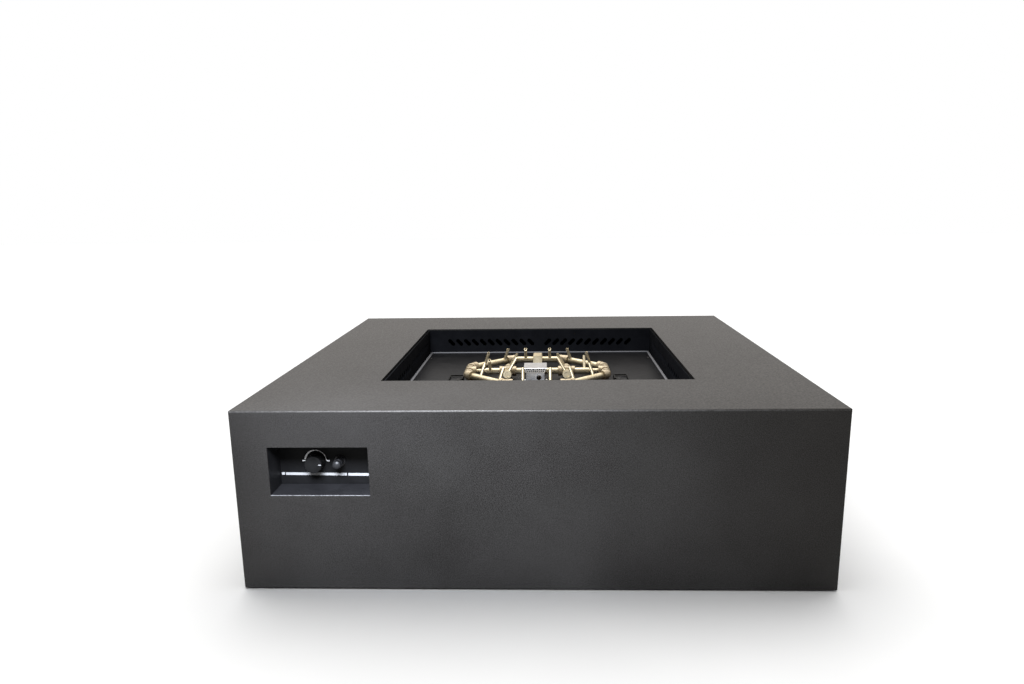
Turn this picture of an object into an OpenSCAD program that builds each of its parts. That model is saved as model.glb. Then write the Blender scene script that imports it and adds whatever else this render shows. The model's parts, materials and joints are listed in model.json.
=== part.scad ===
// Square gas fire pit table: a welded sheet-metal body with a slotted drop-in well,
// a brass pipe burner with angled jets, and a recessed control panel in the front skirt.
// Units are millimetres. The origin is on the floor under the middle of the table,
// +Z is up, +X is to the right and the control panel faces -Y.

/* [Body] */
// Width of the table, left to right
table_w = 1219; // [1160:1:1320]
// Depth of the table, front to back
table_d = 1219; // [1160:1:1320]
// Height of the sheet-metal body, without its feet
body_h = 381; // [360:1:460]
// Thickness of the body sheet
sheet_t = 3; // [2:0.5:4]
// Outside radius of the folded edges
edge_r = 3; // [2:0.5:6]
// Width of the return flange round the bottom
foot_flange_w = 50; // [46:1:70]
// Depth of the stiffening flange round the deck opening
lip_h = 18; // [10:1:26]

/* [Feet] */
// Diameter of a rubber foot
pad_d = 40; // [30:1:44]
// Height of a rubber foot
pad_h = 3; // [2:0.5:8]
// Distance of each foot's centre from the table's sides
pad_inset = 28; // [26:1:30]
// Leg length of the triangular corner braces
brace_leg = 130; // [110:5:200]

/* [Well] */
// Clear inside width and depth of the well
well_in = 700; // [640:1:740]
// Thickness of the well's sheet
well_t = 3; // [2:0.5:4]
// Gap between the well's rim and the edge of the deck opening
well_gap = 4.5; // [2:0.5:8]
// How far the well's rim lies below the deck
rim_drop = 3; // [1:0.5:6]
// Depth of the tray's surface below the deck
tray_depth = 76; // [72:1:84]
// Width of the ledge that carries the tray
ledge_w = 25; // [20:1:32]

/* [Vent slots] */
// Slots in each half of a wall
slots_per_half = 11; // [4:1:12]
// Distance between neighbouring slots
slot_pitch = 25.4; // [22:0.1:27]
// Distance of the first slot from the middle of a wall
slot_start = 27; // [20:0.5:32]
// Width of a slot
slot_w = 11.5; // [8:0.5:12.5]
// Distance between the centres of a slot's two round ends
slot_run = 15; // [11:0.5:18]
// Slant of a slot from the vertical
slot_slant = 45; // [30:1:50]
// Depth of the slots' centres below the deck
slot_depth = 42; // [36:1:46]

/* [Burner tray] */
// Thickness of the tray plate
tray_t = 3; // [2:0.5:4]
// Gap between the tray and the well's walls
tray_gap = 1.5; // [1:0.5:3]
// Radius of the half-round bead along the tray's edge
bead_r = 4; // [3:0.5:5]
// Place of the tray screws along the sides, from the middle
tray_screw_y = 257; // [200:1:290]

/* [Lift handles] */
// Radius of the handle wire
wire_r = 2; // [1.5:0.1:2.5]
// Distance of the handles' hinge line from the middle of the table
handle_x = 207; // [206:1:230]
// Reach of a handle from its hinge to its outer bar
handle_reach = 36; // [30:1:60]
// Length of a handle along its hinge
handle_len = 80; // [70:1:110]
// Place of the handles' middle, front to back
handle_y = -32; // [-40:1:0]
// Width of the clip that holds a handle
clip_len = 30; // [20:1:36]

/* [Burner pipes] */
// Offset of the burner's middle from the middle of the table
burner_x = -3; // [-5:1:3]
// Offset of the burner's middle from the middle of the table, front to back
burner_y = -7; // [-9:1:4]
// Height of the pipes' centre line above the tray
burner_rise = 19; // [18:0.5:26]
// Outside radius of the burner pipes
pipe_r = 8.55; // [7:0.05:9]
// Wall of the burner pipes
pipe_wall = 2.3; // [1.5:0.1:2.8]
// Half length of the octagon's front and rear runs
run_x = 79; // [77:1:83]
// How far a diagonal run reaches, both sideways and front to back
diag_off = 106; // [100:1:107]
// Half length of the octagon's side runs
side_y = 48; // [44:1:52]
// Distance of the crossbar's cross fittings from the middle
cross_x = 80; // [76:1:84]
// Radius of the thin outer nipples of the crossbar
thin_r = 6; // [5:0.1:6.5]

/* [Burner fittings] */
// Radius of a fitting's body
fit_r = 12.6; // [11.6:0.1:12.8]
// Radius of a fitting's end collar
collar_r = 13.6; // [13.2:0.1:14.4]
// Length of an end collar
collar_l = 8; // [5:0.5:9]
// Centre to end length of a tee or cross
tee_reach = 22.5; // [21:0.5:24]
// Centre to end length of the short side tees
side_tee_reach = 18; // [17.5:0.5:21]
// Centre to end length of an elbow
elbow_reach = 18; // [16:0.5:19]
// Radial clearance of a pipe in its socket
socket_gap = 0.05; // [0.02:0.01:0.1]
// Width of the square block in the rear run
block_w = 26; // [25:0.5:30]
// Depth of that block, front to back
block_d = 46; // [30:1:56]
// Height of that block
block_h = 31; // [26:0.5:34]

/* [Jets] */
// Outside radius of a jet tube
jet_r = 4; // [3.5:0.1:4.4]
// Wall of a jet tube
jet_wall = 1.1; // [0.8:0.1:1.5]
// Length of the ring's jets from the pipe's centre line
jet_len = 41; // [36:1:48]
// Lean of the ring's jets from the vertical
jet_lean = 25; // [15:1:30]
// Places of the two jets along each diagonal pipe, from its side elbow
jet_diag = [50, 124];
// Distance of the jets on the front and rear runs from the middle
jet_run_x = 35; // [28:1:44]
// Distance of the crossbar's own jets from the middle
jet_bar_x = 129; // [118:1:132]
// Length of the inner jets from their stub's centre line
inner_jet_len = 51; // [46:1:56]
// Lean of the inner jets from the vertical
inner_jet_lean = 33; // [24:1:36]
// Direction in which the inner jets lean, away from the crossbar's line
inner_jet_turn = 25; // [20:1:36]
// Slant of a jet's open mouth
jet_bevel = 48; // [40:1:52]
// Radius of the air hole in a jet's side
air_hole_r = 1.5; // [1:0.1:2]

/* [Pilot] */
// Offset of the pilot box from the middle of the table
pilot_x = -7; // [-10:1:0]
// Place of the pilot box's front, front to back
pilot_y = -95; // [-100:1:-90]
// Width of the pilot cover
cover_w = 62; // [56:1:70]
// Depth of the pilot cover
cover_d = 70; // [60:1:72]
// Height of the pilot cover's top above the tray
cover_z = 46; // [42:1:52]
// Height of the cover's perforated skirt
cover_skirt = 12; // [11.5:0.5:16]
// Thickness of the pilot's stainless sheet
steel_t = 1.2; // [0.8:0.1:1.5]
// Radius of the round flame port in the pilot's base
port_r = 6.5; // [5:0.5:8]

/* [Control recess] */
// Width of the recess opening
recess_w = 203; // [190:1:230]
// Height of the recess opening
recess_h = 102; // [96:1:120]
// Depth of the control panel's face behind the front skirt
recess_depth = 66; // [60:1:90]
// Distance of the recess from the table's left side
recess_side = 72; // [64:1:90]
// Distance of the recess's lower edge above the body's bottom
recess_rise = 203; // [190:1:215]
// Thickness of the recess's sheet
recess_t = 2; // [1.5:0.1:2.5]
// Thickness of the control panel
panel_t = 2; // [1.5:0.1:3]

/* [Knob and igniter] */
// Distance of the knob's axis from the recess's left edge
knob_dx = 78.5; // [70:0.5:84]
// Height of the knob's axis above the recess's lower edge
knob_dz = 51; // [46:0.5:56]
// Diameter of the knob
knob_d = 37; // [30:0.5:38]
// Length of the knob's skirt
knob_l = 22; // [16:0.5:24]
// Travel of the knob when it is pushed in
knob_travel = 4; // [3:0.5:5]
// Distance between the knob's axis and the igniter's axis
igniter_dx = 49; // [42:0.5:54]
// Diameter of the igniter's push button
button_d = 16.5; // [14:0.5:18]
// Travel of the igniter's push button
button_travel = 4; // [3:0.5:5]

/* [Gas line] */
// Radius of the flexible burner hose
hose_r = 8; // [6:0.5:9]
// Depth of the air mixer's centre line below the tray's surface
mixer_drop = 68; // [62:1:74]
// Radius of the flare fitting's thread at the gas inlet
inlet_r = 7.9; // [6:0.1:9.5]
// Length of that thread
inlet_l = 14; // [10:1:18]

/* [Hidden] */
$fn = 48;

// Small gap between parts that touch face to face in the real object but turn or slide
run_gap = 0.08;
// Overshoot of a cutting shape past the face that it cuts
over = 1;

// Levels
bottom_z = pad_h;
deck_z = bottom_z + body_h;
tray_top = deck_z - tray_depth;
ledge_top = tray_top - tray_t;
well_bottom = ledge_top - well_t;
rim_z = deck_z - rim_drop;
slot_z = deck_z - slot_depth;
pipe_z = tray_top + burner_rise;
opening_w = well_in + 2 * well_t + 2 * well_gap;
front_y = -table_d / 2;
skirt_y = front_y + sheet_t;
tray_w = well_in - 2 * tray_gap;

// Rails under the well
rail_x = 200;
rail_w = 50;
rail_h = 40;
rail_t = 2.5;
rail_z = well_bottom - rail_h;
rail_len = table_d - 2 * sheet_t - 2;
bracket_t = 3;
bracket_leg = 60;
bolt_y = table_d / 2 - sheet_t - bracket_leg / 2;
bolt_r = 3;
bolt_hole_r = bolt_r + 0.3;

// Octagon of the burner ring, one corner of each kind
side_x = run_x + diag_off;
run_y = side_y + diag_off;
side_corner = [side_x, side_y];
run_corner = [run_x, run_y];
diag_vec = run_corner - side_corner;
diag_len = norm(diag_vec);
diag_dir = diag_vec / diag_len;
pipe_in_r = pipe_r - pipe_wall;
socket_r = pipe_r + socket_gap;
socket_l = 10;
bend_r = 20;
seat = 0.5;
jet_hole_r = jet_r + socket_gap;

// Stubs in front of and behind the cross fittings
stub_r = 11;
stub_l = 22;
stub_jet_y = 35;

// Recess, in table coordinates
recess_x0 = -table_w / 2 + recess_side;
recess_z0 = bottom_z + recess_rise;
panel_y = front_y + recess_depth;
back_y = panel_y + panel_t;
valve_y = back_y + recess_t;
knob_x = recess_x0 + knob_dx;
knob_z = recess_z0 + knob_dz;
igniter_x = knob_x + igniter_dx;
recess_flange = 14;
panel_gap = 0.5;
panel_stud_in = 10.5;

// Knob and valve
stem_r = 4;
stem_flat = 1.2;
knob_gap = knob_travel + 1.5;
knob_y = panel_y - knob_gap;
valve_w = 38;
valve_h = 34;
valve_d = 46;
flange_t = 4;
chamber_r = 8;
chamber_l = 30;
plug_l = 12;
plug_y = valve_y + flange_t + 4;
push_r = 2;
spring_r = 5;
spring_wire = 0.6;
spring_turns = 5;
valve_screw_dx = 12.5;
valve_screw_head = 3.4;
valve_end = valve_y + flange_t + valve_d;

// Igniter
module_r = 10;
module_l = 58;
bezel_base_r = 12;
bezel_r = 10;
bezel_l = 20;
button_y = panel_y - bezel_l;
button_out = 12;
button_in = bezel_l + 2;

// Gas line
mixer_z = tray_top - mixer_drop;
riser_r = pipe_r;
mixer_x = burner_x - 30;
mixer_l = 62;
mixer_r = 11;
ferrule_l = 16;
hose_y0 = valve_end + 6 + 11;
hose_x1 = mixer_x - mixer_l - 22;
module_end = panel_y + module_l + 6;

// Places of the pilot's three devices, and of the leads below them, from the box's middle
device_y = pilot_y + 38;
tube_dx = -10;
spark_dx = 2;
couple_dx = 13;
tube_end_z = tray_top + 10.1;
spark_end_z = tray_top + 7.9;
couple_end_z = tray_top + 5.9;
valve_port_dx = 15;
valve_port_dz = 7;
port_dx = 9.5;

// Route of the burner hose: straight out of the valve, across, and straight into the orifice
hose_route = [
  [knob_x, hose_y0, knob_z], [knob_x, hose_y0 + 14, knob_z], [knob_x, hose_y0 + 28, knob_z],
  [-458, -408, 254], [-444, -372, 250], [-420, -338, 246], [-394, -308, 243],
  [-366, -278, 241], [-338, -246, 240], [-312, -212, 240], [-288, -176, 240],
  [-266, -138, 240], [-244, -100, 240], [-220, -60, 240], [-194, -24, 240],
  [-164, -8, mixer_z],
  [hose_x1 - 16, burner_y, mixer_z], [hose_x1, burner_y, mixer_z]
];

// Routes of the pilot's leads: down through the grommet, across, and into valve or igniter
pilot_tube_route = [
  [pilot_x + tube_dx, device_y, tube_end_z], [pilot_x + tube_dx, device_y, 308],
  [pilot_x + tube_dx, device_y, 294], [-22, -62, 280], [-40, -76, 266],
  [-80, -106, 256], [-140, -148, 252], [-200, -194, 250], [-262, -244, 250],
  [-322, -302, 250], [-376, -358, 252], [-416, -404, 258], [-440, -436, 263],
  [knob_x + valve_port_dx, -464, knob_z + valve_port_dz],
  [knob_x + valve_port_dx, valve_end + 8, knob_z + valve_port_dz],
  [knob_x + valve_port_dx, valve_end - 10, knob_z + valve_port_dz]
];
couple_route = [
  [pilot_x + couple_dx, device_y, couple_end_z], [pilot_x + couple_dx, device_y, 304],
  [pilot_x + couple_dx, device_y, 288], [-2, -66, 270], [-24, -84, 256],
  [-70, -118, 246], [-130, -164, 242], [-190, -210, 241], [-252, -262, 241],
  [-312, -318, 241], [-366, -372, 243], [-406, -414, 246], [-434, -444, 249],
  [knob_x + valve_port_dx, -466, knob_z - valve_port_dz],
  [knob_x + valve_port_dx, valve_end + 8, knob_z - valve_port_dz],
  [knob_x + valve_port_dx, valve_end - 10, knob_z - valve_port_dz]
];
spark_route = [
  [pilot_x + spark_dx, device_y, spark_end_z], [pilot_x + spark_dx, device_y, 306],
  [pilot_x + spark_dx, device_y, 292], [-12, -70, 274], [-30, -92, 260],
  [-66, -128, 251], [-116, -174, 248], [-174, -222, 246], [-234, -274, 246],
  [-292, -330, 248], [-340, -382, 251], [-380, -426, 254], [-406, -450, 256],
  [igniter_x, -466, knob_z], [igniter_x, module_end + 4, knob_z],
  [igniter_x, module_end - 10, knob_z]
];

powder = [0.30, 0.30, 0.31];
black_coat = [0.10, 0.10, 0.11];
brass = [0.80, 0.70, 0.48];
stainless = [0.72, 0.72, 0.73];
zinc = [0.62, 0.63, 0.65];
black_plastic = [0.08, 0.08, 0.08];

// A rectangle with rounded corners, in the plane
module round_rect(w, d, r) {
  square([w - 2 * r, d], center = true);
  square([w, d - 2 * r], center = true);
  for (sx = [-1, 1], sy = [-1, 1])
    translate([sx * (w / 2 - r), sy * (d / 2 - r)])
      circle(r);
}

// A rectangle whose two upper corners are rounded, standing on the X axis
module arch_rect(w, h, r) {
  translate([-w / 2, 0])
    square([w, h - r]);
  translate([-w / 2 + r, 0])
    square([w - 2 * r, h]);
  for (sx = [-1, 1])
    translate([sx * (w / 2 - r), h - r])
      circle(r);
}

// A block with rounded upright edges and rounded upper edges
module folded_block(w, d, h, r) {
  intersection() {
    linear_extrude(h)
      round_rect(w, d, r);
    rotate([90, 0, 0])
      translate([0, 0, -d / 2 - over])
        linear_extrude(d + 2 * over)
          arch_rect(w, h, r);
    rotate([90, 0, 90])
      translate([0, 0, -w / 2 - over])
        linear_extrude(w + 2 * over)
          arch_rect(d, h, r);
  }
}

// A centred square plate with its lower face at z
module plate(w, d, z, t) {
  translate([-w / 2, -d / 2, z])
    cube([w, d, t]);
}

// A square frame of plate: outer size, inner size, lower face and thickness
module frame_plate(outer, inner, z, t) {
  difference() {
    plate(outer, outer, z, t);
    plate(inner, inner, z - over, t + 2 * over);
  }
}

// A round bar from point p to point q
module bar(p, q, r) {
  v = q - p;
  l = norm(v);
  translate(p)
    rotate([0, acos(v[2] / l), atan2(v[1], v[0])])
      cylinder(h = l, r = r);
}

// A pipe with an open bore from point p to point q
module pipe(p, q, ro, ri) {
  u = (q - p) / norm(q - p);
  difference() {
    bar(p, q, ro);
    bar(p - u * over, q + u * over, ri);
  }
}

// A hexagonal nut or head with a round bore (no bore when r is 0), standing on z = 0
module hex(af, h, r) {
  difference() {
    cylinder(h = h, r = af / sqrt(3), $fn = 6);
    if (r > 0)
      translate([0, 0, -over])
        cylinder(h = h + 2 * over, r = r);
  }
}

// A pan-head screw that hangs down from z = 0, with its drive recess
module pan_screw(r, l, head_r, head_h) {
  difference() {
    intersection() {
      cylinder(h = head_h, r = head_r);
      translate([0, 0, head_h - head_r * 1.9])
        sphere(head_r * 1.9);
    }
    for (a = [0, 90])
      rotate(a)
        translate([-head_r * 0.55, -head_r * 0.12, head_h * 0.45])
          cube([head_r * 1.1, head_r * 0.24, head_h]);
  }
  translate([0, 0, -l])
    cylinder(h = l + 0.01, r = r);
}

// Points of a smooth curve through a route's points, a few to each stretch
function spline(a, b, c, d, t) =
  0.5 * (2 * b + (c - a) * t + (2 * a - 5 * b + 4 * c - d) * t * t
  + (3 * b - a - 3 * c + d) * t * t * t);
function smooth(p, steps) = [
  for (i = [0 : len(p) - 2], s = [0 : steps - 1])
    spline(p[max(i - 1, 0)], p[i], p[i + 1], p[min(i + 2, len(p) - 1)], s / steps),
  p[len(p) - 1]
];
function unit(v) = v / norm(v);
function tangent(p, i) = unit(p[min(i + 1, len(p) - 1)] - p[max(i - 1, 0)]);

// A flexible tube of n sides swept along a route that never runs square to the table's diagonal
module sweep(route, r, n, steps) {
  p = smooth(route, steps);
  m = len(p);
  rings = [
    for (i = [0 : m - 1])
      let (
        t = tangent(p, i),
        side = unit(cross(t, [1, -1, 0])),
        up = cross(side, t)
      )
      [for (k = [0 : n - 1])
        p[i] + r * (cos(360 * k / n) * side + sin(360 * k / n) * up)]
  ];
  points = [for (ring = rings) each ring];
  sides = [
    for (i = [0 : m - 2], k = [0 : n - 1])
      let (a = i * n + k, b = i * n + (k + 1) % n)
      [a, b, b + n, a + n]
  ];
  faces = concat(
    [[for (k = [n - 1 : -1 : 0]) k]],
    sides,
    [[for (k = [0 : n - 1]) (m - 1) * n + k]]
  );
  polyhedron(points = points, faces = faces, convexity = 6);
}

// Body

// Welded sheet-metal body: deck, four skirts, opening lip and bottom flange
module body_shell() {
  cavity_w = table_w - 2 * sheet_t;
  cavity_d = table_d - 2 * sheet_t;
  color(powder)
    difference() {
      translate([0, 0, bottom_z])
        folded_block(table_w, table_d, body_h, edge_r);
      difference() {
        plate(cavity_w, cavity_d, bottom_z + sheet_t, body_h - 2 * sheet_t);
        frame_plate(opening_w + 2 * sheet_t, opening_w, deck_z - lip_h, lip_h);
      }
      plate(table_w - 2 * foot_flange_w, table_d - 2 * foot_flange_w,
        bottom_z - over, sheet_t + 2 * over);
      plate(opening_w, opening_w, deck_z - sheet_t - over, sheet_t + 2 * over);
      translate([recess_x0, front_y - over, recess_z0])
        cube([recess_w, sheet_t + 2 * over, recess_h]);
      at_corners(pad_inset)
        translate([0, 0, bottom_z - over])
          cylinder(h = sheet_t + 2 * over, r = bolt_hole_r);
    }
}

// Puts its children at the four corners of the table, the same distance from both sides
module at_corners(inset) {
  for (sx = [-1, 1], sy = [-1, 1])
    translate([sx * (table_w / 2 - inset), sy * (table_d / 2 - inset), 0])
      children();
}

// Triangular plates in the bottom corners, on top of the flange
module corner_braces() {
  x = table_w / 2 - sheet_t;
  y = table_d / 2 - sheet_t;
  color(powder)
    for (sx = [0, 1], sy = [0, 1])
      mirror([sx, 0, 0])
        mirror([0, sy, 0])
          difference() {
            translate([0, 0, bottom_z + sheet_t])
              linear_extrude(bracket_t)
                polygon([
                  [x, y], [x - brace_leg, y],
                  [x - brace_leg, y - foot_flange_w / 2],
                  [x - foot_flange_w / 2, y - brace_leg],
                  [x, y - brace_leg]
                ]);
            translate([table_w / 2 - pad_inset, table_d / 2 - pad_inset, bottom_z])
              cylinder(h = sheet_t + bracket_t + over, r = bolt_hole_r);
          }
}

// Rubber feet with a well for the screw's head
module foot_pads() {
  color(black_plastic)
    at_corners(pad_inset)
      difference() {
        cylinder(h = pad_h, r = pad_d / 2);
        translate([0, 0, -over])
          cylinder(h = pad_h + 2 * over, r = bolt_hole_r);
        translate([0, 0, -over])
          cylinder(h = over + pad_h / 2, r = 7);
      }
}

// Screws that hold the feet, with their nuts on the braces
module foot_screws() {
  top = bottom_z + sheet_t + bracket_t;
  color(zinc)
    at_corners(pad_inset) {
      translate([0, 0, pad_h * 0.1])
        cylinder(h = pad_h * 0.4, r = 6.5);
      translate([0, 0, pad_h * 0.1])
        cylinder(h = top + 6 - pad_h * 0.1, r = bolt_r);
      translate([0, 0, top])
        hex(10, 5, 0);
    }
}

// Angle brackets on the front and rear skirts that carry the rails
module rail_brackets() {
  color(powder)
    for (sx = [-1, 1], sy = [0, 1])
      mirror([0, sy, 0])
        difference() {
          union() {
            translate([sx * rail_x - rail_w / 2, skirt_y, rail_z - bracket_t])
              cube([rail_w, bracket_leg, bracket_t]);
            translate([sx * rail_x - rail_w / 2, skirt_y, rail_z - 45])
              cube([rail_w, bracket_t, 45]);
          }
          translate([sx * rail_x, -bolt_y, rail_z - bracket_t - over])
            cylinder(h = bracket_t + 2 * over, r = bolt_hole_r);
        }
}

// Box-section rails under the well
module well_rails() {
  color(powder)
    for (sx = [-1, 1])
      difference() {
        translate([sx * rail_x - rail_w / 2, -rail_len / 2, rail_z])
          cube([rail_w, rail_len, rail_h]);
        translate([sx * rail_x - rail_w / 2 + rail_t, -rail_len / 2 - over, rail_z + rail_t])
          cube([rail_w - 2 * rail_t, rail_len + 2 * over, rail_h - 2 * rail_t]);
        for (sy = [-1, 1])
          translate([sx * rail_x, sy * bolt_y, rail_z - over])
            cylinder(h = rail_t + 2 * over, r = bolt_hole_r);
        for (sy = [-1, 1])
          translate([sx * rail_x, sy * well_screw_y(), rail_z + rail_h - rail_t - over])
            cylinder(h = rail_t + 2 * over, r = bolt_hole_r);
      }
}

// Distance of the well's screws from the middle, front to back
function well_screw_y() = well_in / 2 - ledge_w / 2;

// Bolts from below through the brackets into the rails, with nuts inside the rails
module rail_bolts() {
  color(zinc)
    for (sx = [-1, 1], sy = [-1, 1])
      translate([sx * rail_x, sy * bolt_y, rail_z]) {
        translate([0, 0, -bracket_t - 4])
          hex(10, 4, 0);
        translate([0, 0, -bracket_t - 1])
          cylinder(h = bracket_t + rail_t + 8, r = bolt_r);
        translate([0, 0, rail_t])
          hex(10, 5, 0);
      }
}

// Well

// One slanted slot: two round ends joined by a straight stretch
module slot(lean) {
  rotate(lean) {
    square([slot_w, slot_run], center = true);
    for (s = [-1, 1])
      translate([0, s * slot_run / 2])
        circle(slot_w / 2);
  }
}

// One wall of the well, drawn flat with its lower edge at y = 0
module wall_profile(w) {
  h = rim_z - well_bottom;
  difference() {
    translate([-w / 2, 0])
      square([w, h]);
    for (k = [1 : slots_per_half], s = [-1, 1])
      translate([s * (slot_start + (k - 1) * slot_pitch), slot_z - well_bottom])
        slot(-s * slot_slant);
  }
}

// Drop-in well: four slotted walls, a mitred pair each way, and the ledge under the tray
module burner_well() {
  outer = well_in + 2 * well_t;
  color(black_coat) {
    difference() {
      union() {
        for (a = [0, 180])
          rotate(a)
            translate([0, -well_in / 2, well_bottom])
              rotate([90, 0, 0])
                linear_extrude(well_t)
                  wall_profile(outer);
        for (a = [90, 270])
          rotate(a)
            translate([0, -well_in / 2, well_bottom])
              rotate([90, 0, 0])
                linear_extrude(well_t)
                  wall_profile(well_in);
        frame_plate(outer, well_in - 2 * ledge_w, well_bottom, well_t);
      }
      for (sx = [-1, 1], sy = [-1, 1])
        translate([sx * rail_x, sy * well_screw_y(), well_bottom - over])
          cylinder(h = well_t + 2 * over, r = bolt_hole_r);
      for (sx = [-1, 1], sy = [-1, 1])
        translate([sx * rail_x, sy * well_screw_y(), ledge_top - 1.6])
          cylinder(h = 2, r = 6.6);
      at_tray_screws(well_bottom - over)
        cylinder(h = well_t + 2 * over, r = 2.6);
    }
  }
}

// Low-head screws, sunk flush in the ledge, that hold the well on its rails
module well_screws() {
  color(zinc)
    for (sx = [-1, 1], sy = [-1, 1])
      translate([sx * rail_x, sy * well_screw_y(), ledge_top - 1.6]) {
        cylinder(h = 1.5, r = 6.3);
        translate([0, 0, -14])
          cylinder(h = 14.5, r = bolt_r);
      }
}

// Puts its children at the tray's four screws, at height z
module at_tray_screws(z) {
  x = tray_w / 2 - bead_r * 2 - 5;
  for (sx = [-1, 1], sy = [-1, 1])
    translate([sx * x, sy * tray_screw_y, z])
      children();
}

// Floor of the well: a flat plate with a half-round bead along its edge
module burner_tray() {
  b = tray_w / 2 - bead_r;
  color(black_coat)
    difference() {
      union() {
        plate(tray_w, tray_w, ledge_top, tray_t);
        intersection() {
          plate(tray_w, tray_w, ledge_top, tray_t + bead_r);
          union()
            for (a = [0 : 90 : 270])
              rotate(a) {
                translate([-b, -b, tray_top])
                  rotate([0, 90, 0])
                    cylinder(h = 2 * b, r = bead_r);
                translate([-b, -b, tray_top])
                  sphere(bead_r);
              }
        }
      }
      at_tray_screws(ledge_top - over)
        cylinder(h = tray_t + 2 * over, r = 2.8);
      translate([burner_x, burner_y, ledge_top - over])
        cylinder(h = tray_t + 2 * over, r = riser_r + 0.6);
      translate([pilot_x + spark_dx, device_y, ledge_top - over])
        cylinder(h = tray_t + 2 * over, r = grommet_r + 0.1);
      for (s = [-1, 1], dy = [-8, 8])
        translate([s * clip_rivet_x(), handle_y + dy, ledge_top - over])
          cylinder(h = tray_t + 2 * over, r = 1.9);
      at_pilot_screws(ledge_top - over)
        cylinder(h = tray_t + 2 * over, r = 1.8);
    }
}

// Screws that hold the tray to the ledge
module tray_screws() {
  color(zinc)
    at_tray_screws(tray_top)
      pan_screw(2.5, tray_t + well_t + 4, 4.5, 2.4);
}

// Lift handles

handle_z = tray_top + wire_r + run_gap + 1.5;
clip_r = wire_r + run_gap + 1.5;
function clip_rivet_x() = handle_x + clip_r + 8;

// Clips of folded strip that wrap round the handles' hinge bars
module handle_clips() {
  color(black_coat)
    for (m = [0, 1])
      mirror([m, 0, 0])
        translate([handle_x, handle_y, tray_top])
          difference() {
            union() {
              translate([0, clip_len / 2, clip_r])
                rotate([90, 0, 0])
                  cylinder(h = clip_len, r = clip_r);
              translate([0, -clip_len / 2, 0])
                cube([clip_r + 14, clip_len, clip_r - wire_r - run_gap + 1.5]);
            }
            translate([0, clip_len / 2 + over, clip_r])
              rotate([90, 0, 0])
                cylinder(h = clip_len + 2 * over, r = wire_r + run_gap);
            for (dy = [-8, 8])
              translate([clip_r + 8, dy, -over])
                cylinder(h = 10, r = 1.9);
          }
}

// Rivets through the clips and the tray
module clip_rivets() {
  color(zinc)
    for (s = [-1, 1], dy = [-8, 8])
      translate([s * clip_rivet_x(), handle_y + dy, 0]) {
        translate([0, 0, tray_top + 3])
          intersection() {
            cylinder(h = 1.6, r = 3.4);
            translate([0, 0, -3.6])
              sphere(5.2);
          }
        translate([0, 0, ledge_top - 1.5])
          cylinder(h = tray_t + 5, r = 1.85);
        translate([0, 0, ledge_top - 1.5])
          cylinder(h = 1.5, r = 3.2);
      }
}

// One folding handle: a closed loop of wire whose inner bar is the hinge
module lift_handle() {
  bend = 2.2 * wire_r;
  x0 = handle_x;
  x1 = handle_x + handle_reach;
  y0 = handle_y - handle_len / 2;
  y1 = handle_y + handle_len / 2;
  translate([0, 0, handle_z]) {
    bar([x0, y0 + bend, 0], [x0, y1 - bend, 0], wire_r);
    bar([x1, y0 + bend, 0], [x1, y1 - bend, 0], wire_r);
    bar([x0 + bend, y0, 0], [x1 - bend, y0, 0], wire_r);
    bar([x0 + bend, y1, 0], [x1 - bend, y1, 0], wire_r);
    wire_corner(x0 + bend, y0 + bend, 180, bend);
    wire_corner(x1 - bend, y0 + bend, 270, bend);
    wire_corner(x1 - bend, y1 - bend, 0, bend);
    wire_corner(x0 + bend, y1 - bend, 90, bend);
  }
}

// A quarter bend of the handle's wire
module wire_corner(x, y, a, bend) {
  translate([x, y, 0])
    rotate(a)
      rotate_extrude(angle = 90)
        translate([bend, 0])
          circle(wire_r);
}

module lift_handle_left() {
  color(black_plastic)
    mirror([1, 0, 0])
      lift_handle();
}

module lift_handle_right() {
  color(black_plastic)
    lift_handle();
}

// Burner

// Mirrors its children into the four quarters of the burner
module four_quarters() {
  translate([burner_x, burner_y, pipe_z])
    for (sx = [0, 1], sy = [0, 1])
      mirror([sx, 0, 0])
        mirror([0, sy, 0])
          children();
}

// Each jet is [foot on the pipe's centre line, direction of its lean, lean, length]
function diag_jets() = [
  for (sx = [-1, 1], sy = [-1, 1], t = jet_diag)
    let (q = side_corner + diag_dir * t)
    [
      [burner_x + sx * q[0], burner_y + sy * q[1], pipe_z],
      atan2(-sy, -sx), jet_lean, jet_len
    ]
];
function run_jets() = [
  for (sx = [-1, 1], sy = [-1, 1])
    [
      [burner_x + sx * jet_run_x, burner_y + sy * run_y, pipe_z],
      -sy * 90, jet_lean, jet_len - 2 * sy
    ]
];
function bar_jets() = [
  for (s = [-1, 1])
    [
      [burner_x + s * jet_bar_x, burner_y, pipe_z],
      s * 90, inner_jet_lean, inner_jet_len - 7
    ]
];
function stub_jets() = [
  for (sx = [-1, 1], sy = [-1, 1])
    [
      [burner_x + sx * cross_x, burner_y + sy * stub_jet_y, pipe_z],
      atan2(-sy * sin(inner_jet_turn), -sx * cos(inner_jet_turn)),
      inner_jet_lean, inner_jet_len
    ]
];

// Stands its children on a jet's foot, leaning as the jet does
module on_jet(j) {
  translate(j[0])
    rotate([0, 0, j[1]])
      rotate([0, j[2], 0])
        children();
}

// One jet: a tube from the pipe's wall to a slanted open mouth, with an air hole in its side
module jet(j, foot) {
  l = j[3];
  on_jet(j)
    difference() {
      translate([0, 0, foot])
        cylinder(h = l - foot, r = jet_r);
      translate([0, 0, foot - over])
        cylinder(h = l - foot + 2 * over, r = jet_r - jet_wall);
      translate([0, 0, l])
        rotate([0, jet_bevel, 0])
          translate([-3 * jet_r, -2 * jet_r, 0])
            cube([6 * jet_r, 4 * jet_r, 4 * jet_r]);
      translate([0, 0, l * 0.55])
        rotate([90, 0, 0])
          cylinder(h = 2 * jet_r, r = air_hole_r);
    }
}

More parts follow.
